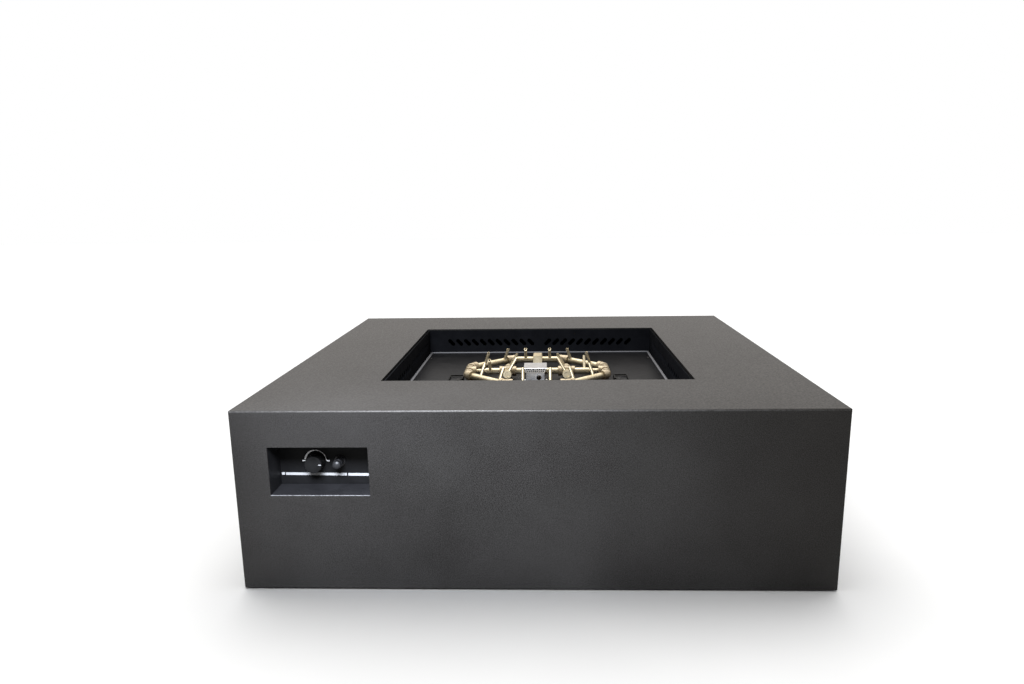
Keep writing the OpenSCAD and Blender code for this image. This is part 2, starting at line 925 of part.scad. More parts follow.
// Holes in a pipe for the feet of its jets
module jet_holes(jets) {
  for (j = jets)
    on_jet(j)
      cylinder(h = 2 * pipe_r + 4, r = jet_hole_r);
}

// Depth at which a jet's foot stands in the wall of a pipe of radius r
jet_foot = pipe_in_r + 0.3;
stub_jet_foot = pipe_in_r + 1.5;

module ring_jets() {
  color(brass)
    for (j = concat(diag_jets(), run_jets()))
      jet(j, jet_foot);
}

module inner_jets() {
  color(brass) {
    for (j = bar_jets())
      jet(j, jet_foot);
    for (j = stub_jets())
      jet(j, stub_jet_foot);
  }
}

// A nipple between two plan points of the burner, ending a seat's depth inside both fittings
module nipple(p, q, back_p, back_q, r) {
  u = unit(q - p);
  a = p + u * back_p;
  b = q - u * back_q;
  pipe([a[0], a[1], 0], [b[0], b[1], 0], r, r - pipe_wall);
}

// How far from a fitting's centre its pipe ends
elbow_stop = elbow_reach - socket_l + seat;
tee_stop = tee_reach - socket_l + seat;
side_tee_stop = side_tee_reach - socket_l + seat;
block_stop = block_w / 2 - socket_l + seat;

// Pipes of the octagonal ring
module ring_pipes() {
  color(brass)
    difference() {
      union() {
        four_quarters() {
          nipple(side_corner, run_corner, elbow_stop, elbow_stop, pipe_r);
          nipple([side_x, 0], side_corner, side_tee_stop, elbow_stop, pipe_r);
        }
        translate([burner_x, burner_y, pipe_z]) {
          nipple([-run_x, -run_y], [run_x, -run_y], elbow_stop, elbow_stop, pipe_r);
          for (s = [-1, 1])
            nipple([0, run_y], [s * run_x, run_y], block_stop, elbow_stop, pipe_r);
        }
      }
      jet_holes(concat(diag_jets(), run_jets()));
    }
}

// One arm of a fitting: body, end collar and socket, from the centre along +X
module fitting_arm(reach) {
  rotate([0, 90, 0]) {
    cylinder(h = reach, r = fit_r);
    translate([0, 0, reach - collar_l])
      cylinder(h = collar_l, r = collar_r);
  }
}

// The hollow of a fitting's arm
module fitting_bore(reach, r) {
  rotate([0, 90, 0]) {
    cylinder(h = reach + over, r = pipe_in_r);
    translate([0, 0, reach - socket_l])
      cylinder(h = socket_l + over, r = r + socket_gap);
  }
}

// A fitting with arms at the given plan directions; radii are those of its pipes, and bulge
// is how far its round middle stands out
module fitting(angles, reach, radii, bulge) {
  difference() {
    union() {
      sphere(fit_r + bulge);
      for (a = angles)
        rotate(a)
          fitting_arm(reach);
    }
    sphere(pipe_in_r + bulge * 0.7);
    for (i = [0 : len(angles) - 1])
      rotate(angles[i])
        fitting_bore(reach, radii[i]);
  }
}

// Bend of 45 degrees and radius r between the collars of an elbow
module elbow_bend(r) {
  translate([bend_r * tan(22.5), bend_r, 0])
    rotate(-135)
      rotate_extrude(angle = 45)
        translate([bend_r, 0])
          circle(r);
}

// Elbow of 45 degrees: one arm along +X, the other at 135 degrees to it
module elbow() {
  collar_in = bend_r * tan(22.5) - 0.5;
  difference() {
    union() {
      elbow_bend(fit_r);
      for (a = [0, 135])
        rotate(a)
          translate([collar_in, 0, 0])
            rotate([0, 90, 0])
              cylinder(h = elbow_reach - collar_in, r = collar_r);
    }
    elbow_bend(pipe_in_r);
    for (a = [0, 135])
      rotate(a)
        translate([elbow_reach - socket_l, 0, 0])
          rotate([0, 90, 0])
            cylinder(h = socket_l + over, r = socket_r);
  }
}

// Eight elbows at the corners of the ring
module ring_elbows() {
  color(brass)
    four_quarters() {
      translate([side_x, side_y, 0])
        rotate(135)
          elbow();
      translate([run_x, run_y, 0])
        rotate(180)
          elbow();
    }
}

// Tees at the middle of the side runs, whose branches take the crossbar
module side_tees() {
  color(brass)
    for (s = [0, 1])
      translate([burner_x, burner_y, pipe_z])
        mirror([s, 0, 0])
          translate([side_x, 0, 0])
            fitting([90, -90, 180], side_tee_reach, [pipe_r, pipe_r, thin_r], 0.3);
}

// Chamfered square block in the middle of the rear run
module rear_block() {
  c = 2;
  color(brass)
    translate([burner_x, burner_y + run_y, pipe_z])
      difference() {
        rotate([90, 0, 0])
          translate([0, 0, -block_d / 2])
            linear_extrude(block_d)
              polygon([
                [block_w / 2 - c, block_h / 2], [block_w / 2, block_h / 2 - c],
                [block_w / 2, -block_h / 2 + c], [block_w / 2 - c, -block_h / 2],
                [-block_w / 2 + c, -block_h / 2], [-block_w / 2, -block_h / 2 + c],
                [-block_w / 2, block_h / 2 - c], [-block_w / 2 + c, block_h / 2]
              ]);
        rotate([0, 90, 0])
          translate([0, 0, -block_w])
            cylinder(h = 2 * block_w, r = pipe_in_r);
        for (a = [90, -90])
          rotate([0, a, 0])
            translate([0, 0, block_w / 2 - socket_l])
              cylinder(h = socket_l + over, r = socket_r);
      }
}

// Where the crossbar's thick pipe ends and its thin nipple starts
thick_end = side_x - 44;

// Pipes of the crossbar between the centre tee and the thin nipples
module crossbar_pipes() {
  color(brass)
    difference() {
      translate([burner_x, burner_y, pipe_z])
        for (s = [0, 1])
          mirror([s, 0, 0]) {
            pipe([tee_stop, 0, 0], [cross_x - tee_stop, 0, 0], pipe_r, pipe_in_r);
            difference() {
              bar([cross_x + tee_stop, 0, 0], [thick_end, 0, 0], pipe_r);
              bar([cross_x, 0, 0], [thick_end - 5, 0, 0], pipe_in_r);
              bar([cross_x, 0, 0], [thick_end + over, 0, 0], thin_r + socket_gap);
            }
          }
      jet_holes(bar_jets());
    }
}

// Thin nipples from the crossbar's ends into the side tees
module thin_nipples() {
  color(brass)
    translate([burner_x, burner_y, pipe_z])
      for (s = [0, 1])
        mirror([s, 0, 0])
          pipe([thick_end - 12, 0, 0], [side_x - side_tee_stop, 0, 0], thin_r, thin_r - 1.6);
}

// Cross fittings on the crossbar, with a stub in front and one behind
module cross_fittings() {
  color(brass)
    translate([burner_x, burner_y, pipe_z])
      for (s = [-1, 1])
        translate([s * cross_x, 0, 0])
          fitting([0, 90, 180, 270], tee_reach, [pipe_r, pipe_r, pipe_r, pipe_r], 0.3);
}

// Capped stubs in the cross fittings: a nipple with a round, socketed end
module stub_caps() {
  color(brass)
    difference() {
      translate([burner_x, burner_y, pipe_z])
        for (sx = [-1, 1], sy = [0, 1])
          mirror([0, sy, 0])
            translate([sx * cross_x, 0, 0])
              rotate([90, 0, 0])
                difference() {
                  union() {
                    translate([0, 0, tee_stop])
                      cylinder(h = stub_l, r = pipe_r);
                    translate([0, 0, tee_reach])
                      cylinder(h = stub_l, r = stub_r);
                  }
                  translate([0, 0, tee_stop - over])
                    cylinder(h = stub_l + tee_reach - tee_stop - 4, r = pipe_in_r);
                  translate([0, 0, tee_reach + stub_l - 2.5])
                    cylinder(h = 4, r = 6.5);
                }
      for (j = stub_jets())
        on_jet(j)
          cylinder(h = 2 * stub_r, r = jet_hole_r);
    }
}

// Tee under the pilot box that feeds the crossbar from below
module centre_tee() {
  color(brass)
    translate([burner_x, burner_y, pipe_z])
      difference() {
        union() {
          sphere(fit_r);
          for (a = [0, 180])
            rotate(a)
              fitting_arm(tee_reach);
          rotate([180, 0, 0])
            cylinder(h = burner_rise - 6.2, r = fit_r);
        }
        sphere(pipe_in_r);
        for (a = [0, 180])
          rotate(a)
            fitting_bore(tee_reach, pipe_r);
        rotate([180, 0, 0])
          cylinder(h = burner_rise, r = pipe_in_r);
        rotate([180, 0, 0])
          translate([0, 0, burner_rise - 12])
            cylinder(h = 20, r = socket_r);
      }
}

// Riser that carries the gas up through the tray
module inlet_riser() {
  color(brass)
    pipe([burner_x, burner_y, mixer_z + tee_stop], [burner_x, burner_y, tray_top + 11.5],
      riser_r, pipe_in_r);
}

// Lock nuts on the riser, above and below the tray
module riser_locknuts() {
  color(brass)
    for (z = [tray_top, ledge_top - 6])
      translate([burner_x, burner_y, z])
        rotate(30)
          hex(27, 6, riser_r + socket_gap);
}

// Elbow below the tray, from the riser to the air mixer
module riser_elbow() {
  color(brass)
    translate([burner_x, burner_y, mixer_z])
      difference() {
        union() {
          sphere(fit_r);
          rotate(180)
            fitting_arm(tee_reach);
          rotate([0, -90, 0])
            fitting_arm(tee_reach);
        }
        sphere(pipe_in_r);
        rotate(180)
          fitting_bore(tee_reach, pipe_r);
        rotate([0, -90, 0])
          fitting_bore(tee_reach, riser_r);
      }
}

// Air mixer: a tube with four long air windows and a nipple into the elbow
module air_mixer() {
  color(zinc)
    translate([mixer_x, burner_y, mixer_z])
      rotate([0, -90, 0])
        difference() {
          union() {
            translate([0, 0, -30 + tee_stop])
              cylinder(h = 34 - tee_stop, r = pipe_r);
            cylinder(h = mixer_l, r = mixer_r);
          }
          translate([0, 0, -40])
            cylinder(h = 60, r = pipe_in_r);
          translate([0, 0, 10])
            cylinder(h = mixer_l, r = mixer_r - 2);
          for (a = [0 : 90 : 270])
            rotate(a + 45)
              translate([0, -3.5, 22])
                cube([mixer_r + over, 7, 26]);
        }
}

// Orifice fitting in the mixer's end, with the hose's nut and ferrule
module gas_orifice() {
  color(brass)
    translate([mixer_x - mixer_l, burner_y, mixer_z])
      rotate([0, -90, 0])
        difference() {
          union() {
            translate([0, 0, -12])
              cylinder(h = 12, r = mixer_r - 2 - socket_gap);
            hex(25, 9, 0);
            cylinder(h = 12, r = 7.9);
            translate([0, 0, 12])
              hex(22, 8, 0);
            translate([0, 0, 20])
              cylinder(h = ferrule_l, r = hose_r + 2.5);
            translate([0, 0, -22])
              cylinder(h = 12, r = 4);
          }
          translate([0, 0, -21])
            cylinder(h = 60, r = 3);
          translate([0, 0, -40])
            cylinder(h = 30, r = 0.8);
          translate([0, 0, 21.5])
            cylinder(h = 20, r = hose_r + 0.15);
        }
}

// Pilot

// Puts its children at the screws of the pilot's base, at height z
module at_pilot_screws(z) {
  for (s = [-1, 1])
    translate([pilot_x + s * (base_w() / 2 + 4.5), pilot_y + 58, z])
      children();
}
function base_w() = cover_w - 14;

// Folded stainless base: a front panel with a round port, two sides and two feet
module pilot_base() {
  w = base_w();
  d = cover_d - 4;
  h = cover_z - steel_t;
  y0 = pilot_y + steel_t + 0.3;
  color(stainless)
    difference() {
      union() {
        translate([pilot_x - w / 2, y0, tray_top])
          cube([w, steel_t, h]);
        for (s = [-1, 1])
          translate([pilot_x + s * (w / 2 - steel_t / 2) - steel_t / 2, y0, tray_top])
            cube([steel_t, d, h]);
        for (s = [0, 1])
          translate([pilot_x, 0, 0])
            mirror([s, 0, 0])
              translate([w / 2 - steel_t, pilot_y + 50, tray_top])
                cube([steel_t + 9, 16, steel_t]);
        translate([pilot_x - w / 2, pilot_y + 28, tray_top + 14])
          cube([w, 20, steel_t]);
        translate([pilot_x + port_dx, y0 + 0.1, tray_top + port_z()])
          rotate([90, 0, 0])
            cylinder(h = 0.9, r = port_r + 2.2);
      }
      translate([pilot_x + port_dx, y0 + 10, tray_top + port_z()])
        rotate([90, 0, 0])
          cylinder(h = 20, r = port_r);
      at_pilot_screws(tray_top - over)
        cylinder(h = 6, r = 1.8);
      translate([pilot_x + tube_dx, device_y, tray_top + 13])
        cylinder(h = 4, r = 3.1);
      translate([pilot_x + spark_dx, device_y, tray_top + 13])
        cylinder(h = 4, r = 3.5);
      translate([pilot_x + couple_dx, device_y, tray_top + 13])
        cylinder(h = 4, r = 3.3);
    }
}

// Height of the flame port's centre above the tray
function port_z() = 20;

// Stainless cover over the pilot, with two rows of slits round its skirt
module pilot_cover() {
  slit_pitch = 6;
  n = 4;
  color(stainless)
    difference() {
      translate([pilot_x, pilot_y + cover_d / 2, tray_top + cover_z - cover_skirt])
        folded_block(cover_w, cover_d, cover_skirt, 1.5);
      translate([pilot_x - cover_w / 2 + steel_t, pilot_y + steel_t,
        tray_top + cover_z - cover_skirt - over])
        cube([cover_w - 2 * steel_t, cover_d - 2 * steel_t, cover_skirt - steel_t + over]);
      for (row = [0, 1]) {
        z = tray_top + cover_z - 3.7 - row * 5.1;
        for (i = [-n : n])
          translate([pilot_x + i * slit_pitch - 1.5, pilot_y - over, z - 1.8])
            cube([3, cover_d + 2 * over, 3.6]);
        for (i = [-n : n])
          translate([pilot_x - cover_w / 2 - over,
            pilot_y + cover_d / 2 + i * slit_pitch - 1.5, z - 1.8])
            cube([cover_w + 2 * over, 3, 3.6]);
      }
    }
}

// Screws that hold the pilot's base to the tray
module pilot_screws() {
  color(zinc)
    at_pilot_screws(tray_top + steel_t)
      pan_screw(1.75, steel_t + tray_t + 3, 3.4, 2);
}

// Pilot burner: a small nozzle with a hexagon and a tube nut below it
module pilot_burner() {
  color(brass)
    translate([pilot_x + tube_dx, device_y, tray_top + 14 + steel_t])
      difference() {
        union() {
          hex(9, 6, 0);
          cylinder(h = 16, r = 3.6);
          translate([0, 0, -5])
            cylinder(h = 5.01, r = 3);
        }
        translate([0, 0, 10])
          cylinder(h = 8, r = 2.2);
      }
}

// White ceramic insulator of the spark electrode
module spark_insulator() {
  color([0.92, 0.91, 0.88])
    translate([pilot_x + spark_dx, device_y, tray_top])
      difference() {
        union() {
          translate([0, 0, 8])
            cylinder(h = 22, r = 3.4);
          translate([0, 0, 14 + steel_t])
            cylinder(h = 4, r = 5);
        }
        translate([0, 0, 4])
          cylinder(h = 30, r = 1.05);
      }
}

// Bent wire tip of the spark electrode
module spark_rod() {
  color(zinc)
    translate([pilot_x + spark_dx, device_y, tray_top]) {
      translate([0, 0, 8.5])
        cylinder(h = 27, r = 1);
      translate([0, 0, 35.5])
        sphere(1.1);
      bar([0, 0, 35.5], [-9, 0, 37.5], 1);
    }
}

// Thermocouple: a slim probe on a thicker foot
module thermocouple() {
  color([0.72, 0.45, 0.30])
    translate([pilot_x + couple_dx, device_y, tray_top]) {
      translate([0, 0, 6])
        cylinder(h = 12, r = 3.2);
      translate([0, 0, 14 + steel_t])
        cylinder(h = 3, r = 4.6);
      translate([0, 0, 17.9])
        cylinder(h = 18, r = 2.2);
      translate([0, 0, 35.9])
        sphere(2.2);
    }
}

// Grommet in the tray where the pilot's leads pass down
grommet_r = 17.5;
module tray_grommet() {
  color(black_plastic)
    translate([pilot_x, device_y, ledge_top])
      difference() {
        translate([spark_dx, 0, 0]) {
          translate([0, 0, -1.5])
            cylinder(h = 1.5, r = grommet_r + 2);
          cylinder(h = tray_t, r = grommet_r);
          translate([0, 0, tray_t])
            cylinder(h = 1.5, r = grommet_r + 2);
        }
        for (lead = [[tube_dx, 3.1], [couple_dx, 1.6], [spark_dx, 2.1]])
          translate([lead[0], 0, -2 * over])
            cylinder(h = 10, r = lead[1]);
      }
}

// Controls

// Folded box behind the front skirt, open to the front, with a flange for its welds
module control_recess() {
  cx = recess_x0 + recess_w / 2;
  cz = recess_z0 + recess_h / 2;
  l = valve_y - skirt_y;
  color(black_coat)
    difference() {
      union() {
        translate([cx - recess_w / 2 - recess_flange, skirt_y,
          cz - recess_h / 2 - recess_flange])
          cube([recess_w + 2 * recess_flange, recess_t, recess_h + 2 * recess_flange]);
        translate([cx - recess_w / 2 - recess_t, skirt_y, cz - recess_h / 2 - recess_t])
          cube([recess_w + 2 * recess_t, l, recess_h + 2 * recess_t]);
      }
      translate([recess_x0, skirt_y - over, recess_z0])
        cube([recess_w, back_y - skirt_y + over, recess_h]);
      control_holes(back_y - over, recess_t + 2 * over);
      at_panel_studs(back_y - over)
        rotate([-90, 0, 0])
          cylinder(h = recess_t + 2 * over, r = 2.2);
    }
}

// Holes for the valve, its screws and the igniter
module control_holes(y, l) {
  translate([knob_x, y + l, knob_z])
    rotate([90, 0, 0])
      cylinder(h = l, r = stem_r + 2.5);
  translate([igniter_x, y + l, knob_z])
    rotate([90, 0, 0])
      cylinder(h = l, r = module_r + 0.2);
  for (s = [-1, 1])
    translate([knob_x + s * valve_screw_dx, y + l, knob_z])
      rotate([90, 0, 0])
        cylinder(h = l, r = 2.2);
}

// Puts its children at the four studs in the panel's corners
module at_panel_studs(y) {
  for (x = [panel_stud_in, recess_w - panel_stud_in], z = [panel_stud_in, recess_h - panel_stud_in])
    translate([recess_x0 + x, y, recess_z0 + z])
      children();
}

// Flat control panel at the back of the recess
module control_panel() {
  color(black_coat)
    difference() {
      translate([recess_x0 + panel_gap, panel_y, recess_z0 + panel_gap])
        cube([recess_w - 2 * panel_gap, panel_t, recess_h - 2 * panel_gap]);
      control_holes(panel_y - over, panel_t + 2 * over);
      for (s = [-1, 1])
        translate([knob_x + s * valve_screw_dx, panel_y + 1.4, knob_z])
          rotate([90, 0, 0])
            cylinder(h = 3, r = valve_screw_head + 0.1);
    }
}

// Studs on the panel's back with their nuts behind the recess
module panel_studs() {
  color(zinc)
    at_panel_studs(back_y)
      rotate([-90, 0, 0]) {
        cylinder(h = recess_t + 7, r = 2);
        translate([0, 0, recess_t])
          hex(7, 3.2, 0);
      }
}

// Die-cast gas valve with a front flange, an inlet boss below and an outlet boss behind
module gas_valve() {
  color([0.70, 0.71, 0.73])
    difference() {
      union() {
        translate([knob_x, valve_y + flange_t, knob_z])
          rotate([90, 0, 0])
            cylinder(h = flange_t, r = 23);
        translate([knob_x - valve_w / 2, valve_y, knob_z - valve_h / 2])
          cube([valve_w, valve_d + flange_t, valve_h]);
        translate([knob_x, valve_y + 30, knob_z - valve_h / 2 - 8])
          cylinder(h = 10, r = 12);
        translate([knob_x, valve_end + 6, knob_z])
          rotate([90, 0, 0])
            cylinder(h = 8, r = 12);
      }
      translate([knob_x, valve_y + 60, knob_z])
        rotate([90, 0, 0])
          cylinder(h = 61, r = stem_r + run_gap);
      translate([knob_x, plug_y + chamber_l, knob_z])
        rotate([90, 0, 0])
          cylinder(h = chamber_l, r = chamber_r);
      translate([knob_x, valve_end + 10, knob_z])
        rotate([90, 0, 0])
          cylinder(h = 14, r = 6.6);
      translate([knob_x, valve_y + 30, knob_z - valve_h / 2 - 10])
        cylinder(h = 14, r = 6.6);
      translate([knob_x, valve_y + 30, knob_z - valve_h / 2 - 10])
        cylinder(h = 24, r = 4);
      for (s = [-1, 1])
        translate([knob_x + s * valve_screw_dx, valve_y + 7.5, knob_z])
          rotate([90, 0, 0])
            cylinder(h = 8.5, r = 2.1);
      translate([knob_x + 15, valve_end + over, knob_z + 7])
        rotate([90, 0, 0])
          cylinder(h = 12, r = 3.1);
      translate([knob_x + 15, valve_end + over, knob_z - 7])
        rotate([90, 0, 0])
          cylinder(h = 12, r = 1.6);
    }
}

// Screws that hold the valve behind the recess; their heads are flush with the panel
module valve_screws() {
  color(zinc)
    for (s = [-1, 1])
      translate([knob_x + s * valve_screw_dx, panel_y, knob_z])
        rotate([-90, 0, 0])
          difference() {
            union() {
              translate([0, 0, 0.1])
                cylinder(h = 1.3, r = valve_screw_head);
              translate([0, 0, 0.1])
                cylinder(h = panel_t + recess_t + 7, r = 2);
            }
            translate([-0.4, -2.4, 0])
              cube([0.8, 4.8, 0.8]);
          }
}

// Push rod that opens the safety valve when the knob is pressed; it slides and doesn't turn
module valve_push_rod() {
  color(zinc)
    translate([knob_x, plug_y + plug_l + 0.3, knob_z])
      rotate([-90, 0, 0]) {
        cylinder(h = 1.6, r = spring_r + 1.6);
        cylinder(h = 12, r = push_r);
      }
}

// Return spring of the valve
module valve_spring() {
  y0 = plug_y + plug_l + 2.1;
  l = chamber_l - plug_l - 2.3;
  color(zinc)
    translate([knob_x, y0, knob_z])
      rotate([-90, 0, 0])
        coil_spring(spring_r, spring_wire, l, spring_turns);
}

// A compression spring: one unbroken tube along a helix
module coil_spring(r, wire, l, turns) {
  n = 6;
  steps = 16 * turns;
  pitch = (l - 2 * wire) / turns;
  ring = function (i) let (a = 360 * i / 16, z = wire + pitch * i / 16)
    [for (k = [0 : n - 1])
      let (b = 360 * k / n)
      [(r + wire * cos(b)) * cos(a), (r + wire * cos(b)) * sin(a), z + wire * sin(b)]];
  points = [for (i = [0 : steps]) each ring(i)];
  sides = [
    for (i = [0 : steps - 1], k = [0 : n - 1])
      let (a = i * n + k, b = i * n + (k + 1) % n)
      [a, a + n, b + n, b]
  ];
  faces = concat([[for (k = [0 : n - 1]) k]], sides, [[for (k = [n - 1 : -1 : 0]) steps * n + k]]);
  polyhedron(points = points, faces = faces, convexity = 8);
}

// Stem of the valve: the shaft that carries the knob, and the plug that turns in the valve
module valve_stem() {
  l = plug_y - knob_y + knob_l - 6;
  color(zinc)
    translate([knob_x, plug_y, knob_z])
      rotate([90, 0, 0]) {
        difference() {
          cylinder(h = l, r = stem_r);
          translate([-stem_r, stem_r - stem_flat, l - 14])
            cube([2 * stem_r, stem_r, 20]);
        }
        translate([0, 0, -plug_l])
          cylinder(h = plug_l, r = chamber_r - run_gap);
      }
}

// Round control knob with a tapered skirt, a chamfered face and a seat for its pointer
module control_knob() {
  r = knob_d / 2;
  l = plug_y - knob_y + knob_l - 6;
  stem_end = plug_y - l;
  color(black_plastic)
    difference() {
      translate([knob_x, knob_y, knob_z])
        rotate([90, 0, 0])
          rotate_extrude($fn = 96)
            polygon([
              [0, 0], [r, 0], [r, 3], [r - 0.6, 3.5],
              [r - 0.7, knob_l - 0.8], [r - 1.4, knob_l], [0, knob_l]
            ]);
      translate([knob_x, knob_y + over, knob_z])
        rotate([90, 0, 0])
          difference() {
            cylinder(h = knob_y + over - stem_end + 0.2, r = stem_r + 0.05);
            translate([-stem_r, stem_r - stem_flat + 0.05, 8])
              cube([2 * stem_r, stem_r, 20]);
          }
      translate([knob_x, knob_y + over, knob_z])
        rotate([90, 0, 0])
          difference() {
            cylinder(h = 6, r = r - 3);
            cylinder(h = 6, r = stem_r + 4);
          }
      translate([knob_x + pointer_x, knob_y - knob_l - over, knob_z - pointer_w / 2 - 0.1])
        cube([pointer_l + 0.1, over + 0.6, pointer_w + 0.2]);
    }
}

pointer_x = 11;
pointer_l = 5.4;
pointer_w = 1.6;

// White pointer let into the knob's face
module knob_pointer() {
  color("white")
    translate([knob_x + pointer_x + 0.05, knob_y - knob_l - 0.1, knob_z - pointer_w / 2])
      cube([pointer_l, 0.65, pointer_w]);
}

// Spark module: a threaded barrel through the panel and a battery case behind it
module igniter_module() {
  color(black_plastic)
    translate([igniter_x, panel_y - 1, knob_z])
      rotate([-90, 0, 0])
        difference() {
          union() {
            cylinder(h = module_l, r = module_r);
            translate([0, 0, valve_y - panel_y + 1])
              cylinder(h = module_l - 8, r = module_r + 3);
            translate([0, 0, module_l - 1])
              cylinder(h = 8, r = 4);
          }
          translate([0, 0, -over])
            cylinder(h = 20, r = button_d / 2 + run_gap);
          translate([0, 0, module_l - 4])
            cylinder(h = 20, r = 2.1);
        }
}

// Long round bezel that clamps the igniter to the panel and guides its button
module igniter_bezel() {
  color(black_plastic)
    translate([igniter_x, panel_y, knob_z])
      rotate([90, 0, 0])
        difference() {
          rotate_extrude()
            polygon([
              [button_d / 2 + 0.3, 1.1], [module_r + 0.05, 1.1], [module_r + 0.05, 0],
              [bezel_base_r, 0], [bezel_base_r, 2.4], [bezel_base_r - 0.8, 3.2],
              [bezel_r, 3.2], [bezel_r, bezel_l - 0.9], [bezel_r - 0.9, bezel_l],
              [button_d / 2 + 0.3, bezel_l]
            ]);
          for (a = [0 : 20 : 340])
            rotate(a)
              translate([bezel_r - 0.35, -0.5, 7])
                cube([2, 1, 6]);
        }
}

// Push button with a domed face
module igniter_button() {
  r = button_d / 2;
  dome = 3.4;
  dome_r = (r * r + dome * dome) / (2 * dome);
  color(black_plastic)
    translate([igniter_x, button_y + button_in, knob_z])
      rotate([90, 0, 0])
        difference() {
          intersection() {
            cylinder(h = button_in + button_out, r = r);
            translate([0, 0, button_in + button_out - dome_r])
              sphere(dome_r, $fn = 96);
          }
          translate([0, 0, -over])
            cylinder(h = 5, r = r - 2);
        }
}

// Return spring of the push button
module igniter_spring() {
  y0 = button_y + button_in - 4;
  l = panel_y + 18 - 0.2 - y0;
  color(zinc)
    translate([igniter_x, y0 + 0.1, knob_z])
      rotate([-90, 0, 0])
        coil_spring(4.6, 0.5, l - 0.2, 6);
}

// Gas line

// Male flare fitting at the valve's inlet, where the supply hose screws on
module inlet_fitting() {
  z0 = knob_z - valve_h / 2 - 8;
  color(brass)
    translate([knob_x, valve_y + 30, z0])
      rotate([180, 0, 0])
        difference() {
          union() {
            translate([0, 0, -8])
              cylinder(h = 8.01, r = 6.55);
            hex(22, 8, 0);
            translate([0, 0, 8])
              cylinder(h = inlet_l, r = inlet_r);
            translate([0, 0, 8 + inlet_l])
              cylinder(h = 3, r1 = inlet_r, r2 = inlet_r - 3);
          }
          translate([0, 0, -10])
            cylinder(h = 60, r = 4);
        }
}

// Outlet fitting of the valve with the hose's nut
module outlet_fitting() {
  color(brass)
    translate([knob_x, valve_end + 6, knob_z])
      rotate([-90, 0, 0])
        difference() {
          union() {
            translate([0, 0, -9])
              cylinder(h = 9.01, r = 6.55);
            hex(22, 9, 0);
            translate([0, 0, 9])
              cylinder(h = ferrule_l + 1, r = hose_r + 2.5);
          }
          translate([0, 0, -10])
            cylinder(h = 40, r = 4);
          translate([0, 0, 10.5])
            cylinder(h = 40, r = hose_r + 0.15);
        }
}

// Flexible hose from the valve to the air mixer, with its nut at the mixer
module burner_hose() {
  color([0.85, 0.75, 0.25])
    sweep(hose_route, hose_r, 12, 2);
}

// Aluminium tube to the pilot
module pilot_tube() {
  color([0.75, 0.75, 0.77])
    sweep(pilot_tube_route, 3, 8, 2);
}

// Lead from the igniter to the spark electrode
module spark_lead() {
  color([0.75, 0.30, 0.15])
    sweep(spark_route, 2, 8, 2);
}

// Capillary lead from the thermocouple to the valve
module thermocouple_lead() {
  color([0.72, 0.45, 0.30])
    sweep(couple_route, 1.5, 8, 2);
}

body_shell();
corner_braces();
foot_pads();
foot_screws();
rail_brackets();
well_rails();
rail_bolts();
burner_well();
well_screws();
burner_tray();
tray_screws();
handle_clips();
clip_rivets();
lift_handle_left();
lift_handle_right();
ring_pipes();
ring_elbows();
side_tees();
rear_block();
crossbar_pipes();
thin_nipples();
cross_fittings();
stub_caps();
centre_tee();
ring_jets();
inner_jets();
inlet_riser();
riser_locknuts();
riser_elbow();
air_mixer();
gas_orifice();
pilot_base();
pilot_cover();
pilot_screws();
pilot_burner();
spark_insulator();
spark_rod();
thermocouple();
tray_grommet();
control_recess();
control_panel();
panel_studs();
gas_valve();
valve_screws();
valve_push_rod();
valve_spring();
valve_stem();
control_knob();
knob_pointer();
igniter_module();
igniter_bezel();
igniter_button();
igniter_spring();
inlet_fitting();
outlet_fitting();
burner_hose();
pilot_tube();
spark_lead();
thermocouple_lead();
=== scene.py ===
import json
import math

import bmesh
import bpy
from mathutils import Matrix, Vector

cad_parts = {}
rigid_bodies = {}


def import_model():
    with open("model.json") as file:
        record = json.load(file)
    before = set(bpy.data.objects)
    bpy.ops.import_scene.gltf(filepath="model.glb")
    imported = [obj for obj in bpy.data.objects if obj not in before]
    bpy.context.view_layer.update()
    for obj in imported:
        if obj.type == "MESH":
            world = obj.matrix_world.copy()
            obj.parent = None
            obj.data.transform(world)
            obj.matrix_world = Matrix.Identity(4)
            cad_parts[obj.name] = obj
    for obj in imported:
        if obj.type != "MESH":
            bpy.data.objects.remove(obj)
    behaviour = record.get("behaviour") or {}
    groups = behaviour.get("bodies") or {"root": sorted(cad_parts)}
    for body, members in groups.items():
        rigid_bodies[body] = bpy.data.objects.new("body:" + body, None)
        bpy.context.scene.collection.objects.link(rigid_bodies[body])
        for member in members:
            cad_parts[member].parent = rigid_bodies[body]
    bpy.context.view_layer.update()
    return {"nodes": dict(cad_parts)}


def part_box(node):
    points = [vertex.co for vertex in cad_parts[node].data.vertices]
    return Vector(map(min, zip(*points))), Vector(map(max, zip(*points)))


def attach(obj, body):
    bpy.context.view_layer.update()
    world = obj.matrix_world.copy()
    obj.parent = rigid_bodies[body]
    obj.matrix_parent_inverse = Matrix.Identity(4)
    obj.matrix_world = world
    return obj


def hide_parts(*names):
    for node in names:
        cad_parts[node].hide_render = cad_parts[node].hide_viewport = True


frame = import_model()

NODES = frame["nodes"]


def add_object(name, data):
    """A new object in the scene that shows data."""
    made = bpy.data.objects.new(name, data)
    bpy.context.scene.collection.objects.link(made)
    return made


def map_range(tree, source, low, high, to_low=0.0, to_high=1.0):
    """The output of a node that maps source from low..high to to_low..to_high, clamped."""
    made = tree.nodes.new("ShaderNodeMapRange")
    tree.links.new(source, made.inputs["Value"])
    for name, value in (("From Min", low), ("From Max", high), ("To Min", to_low), ("To Max", to_high)):
        made.inputs[name].default_value = value
    return made.outputs["Result"]


# Camera, in metres and radians, as fitted to the photograph's straight edges

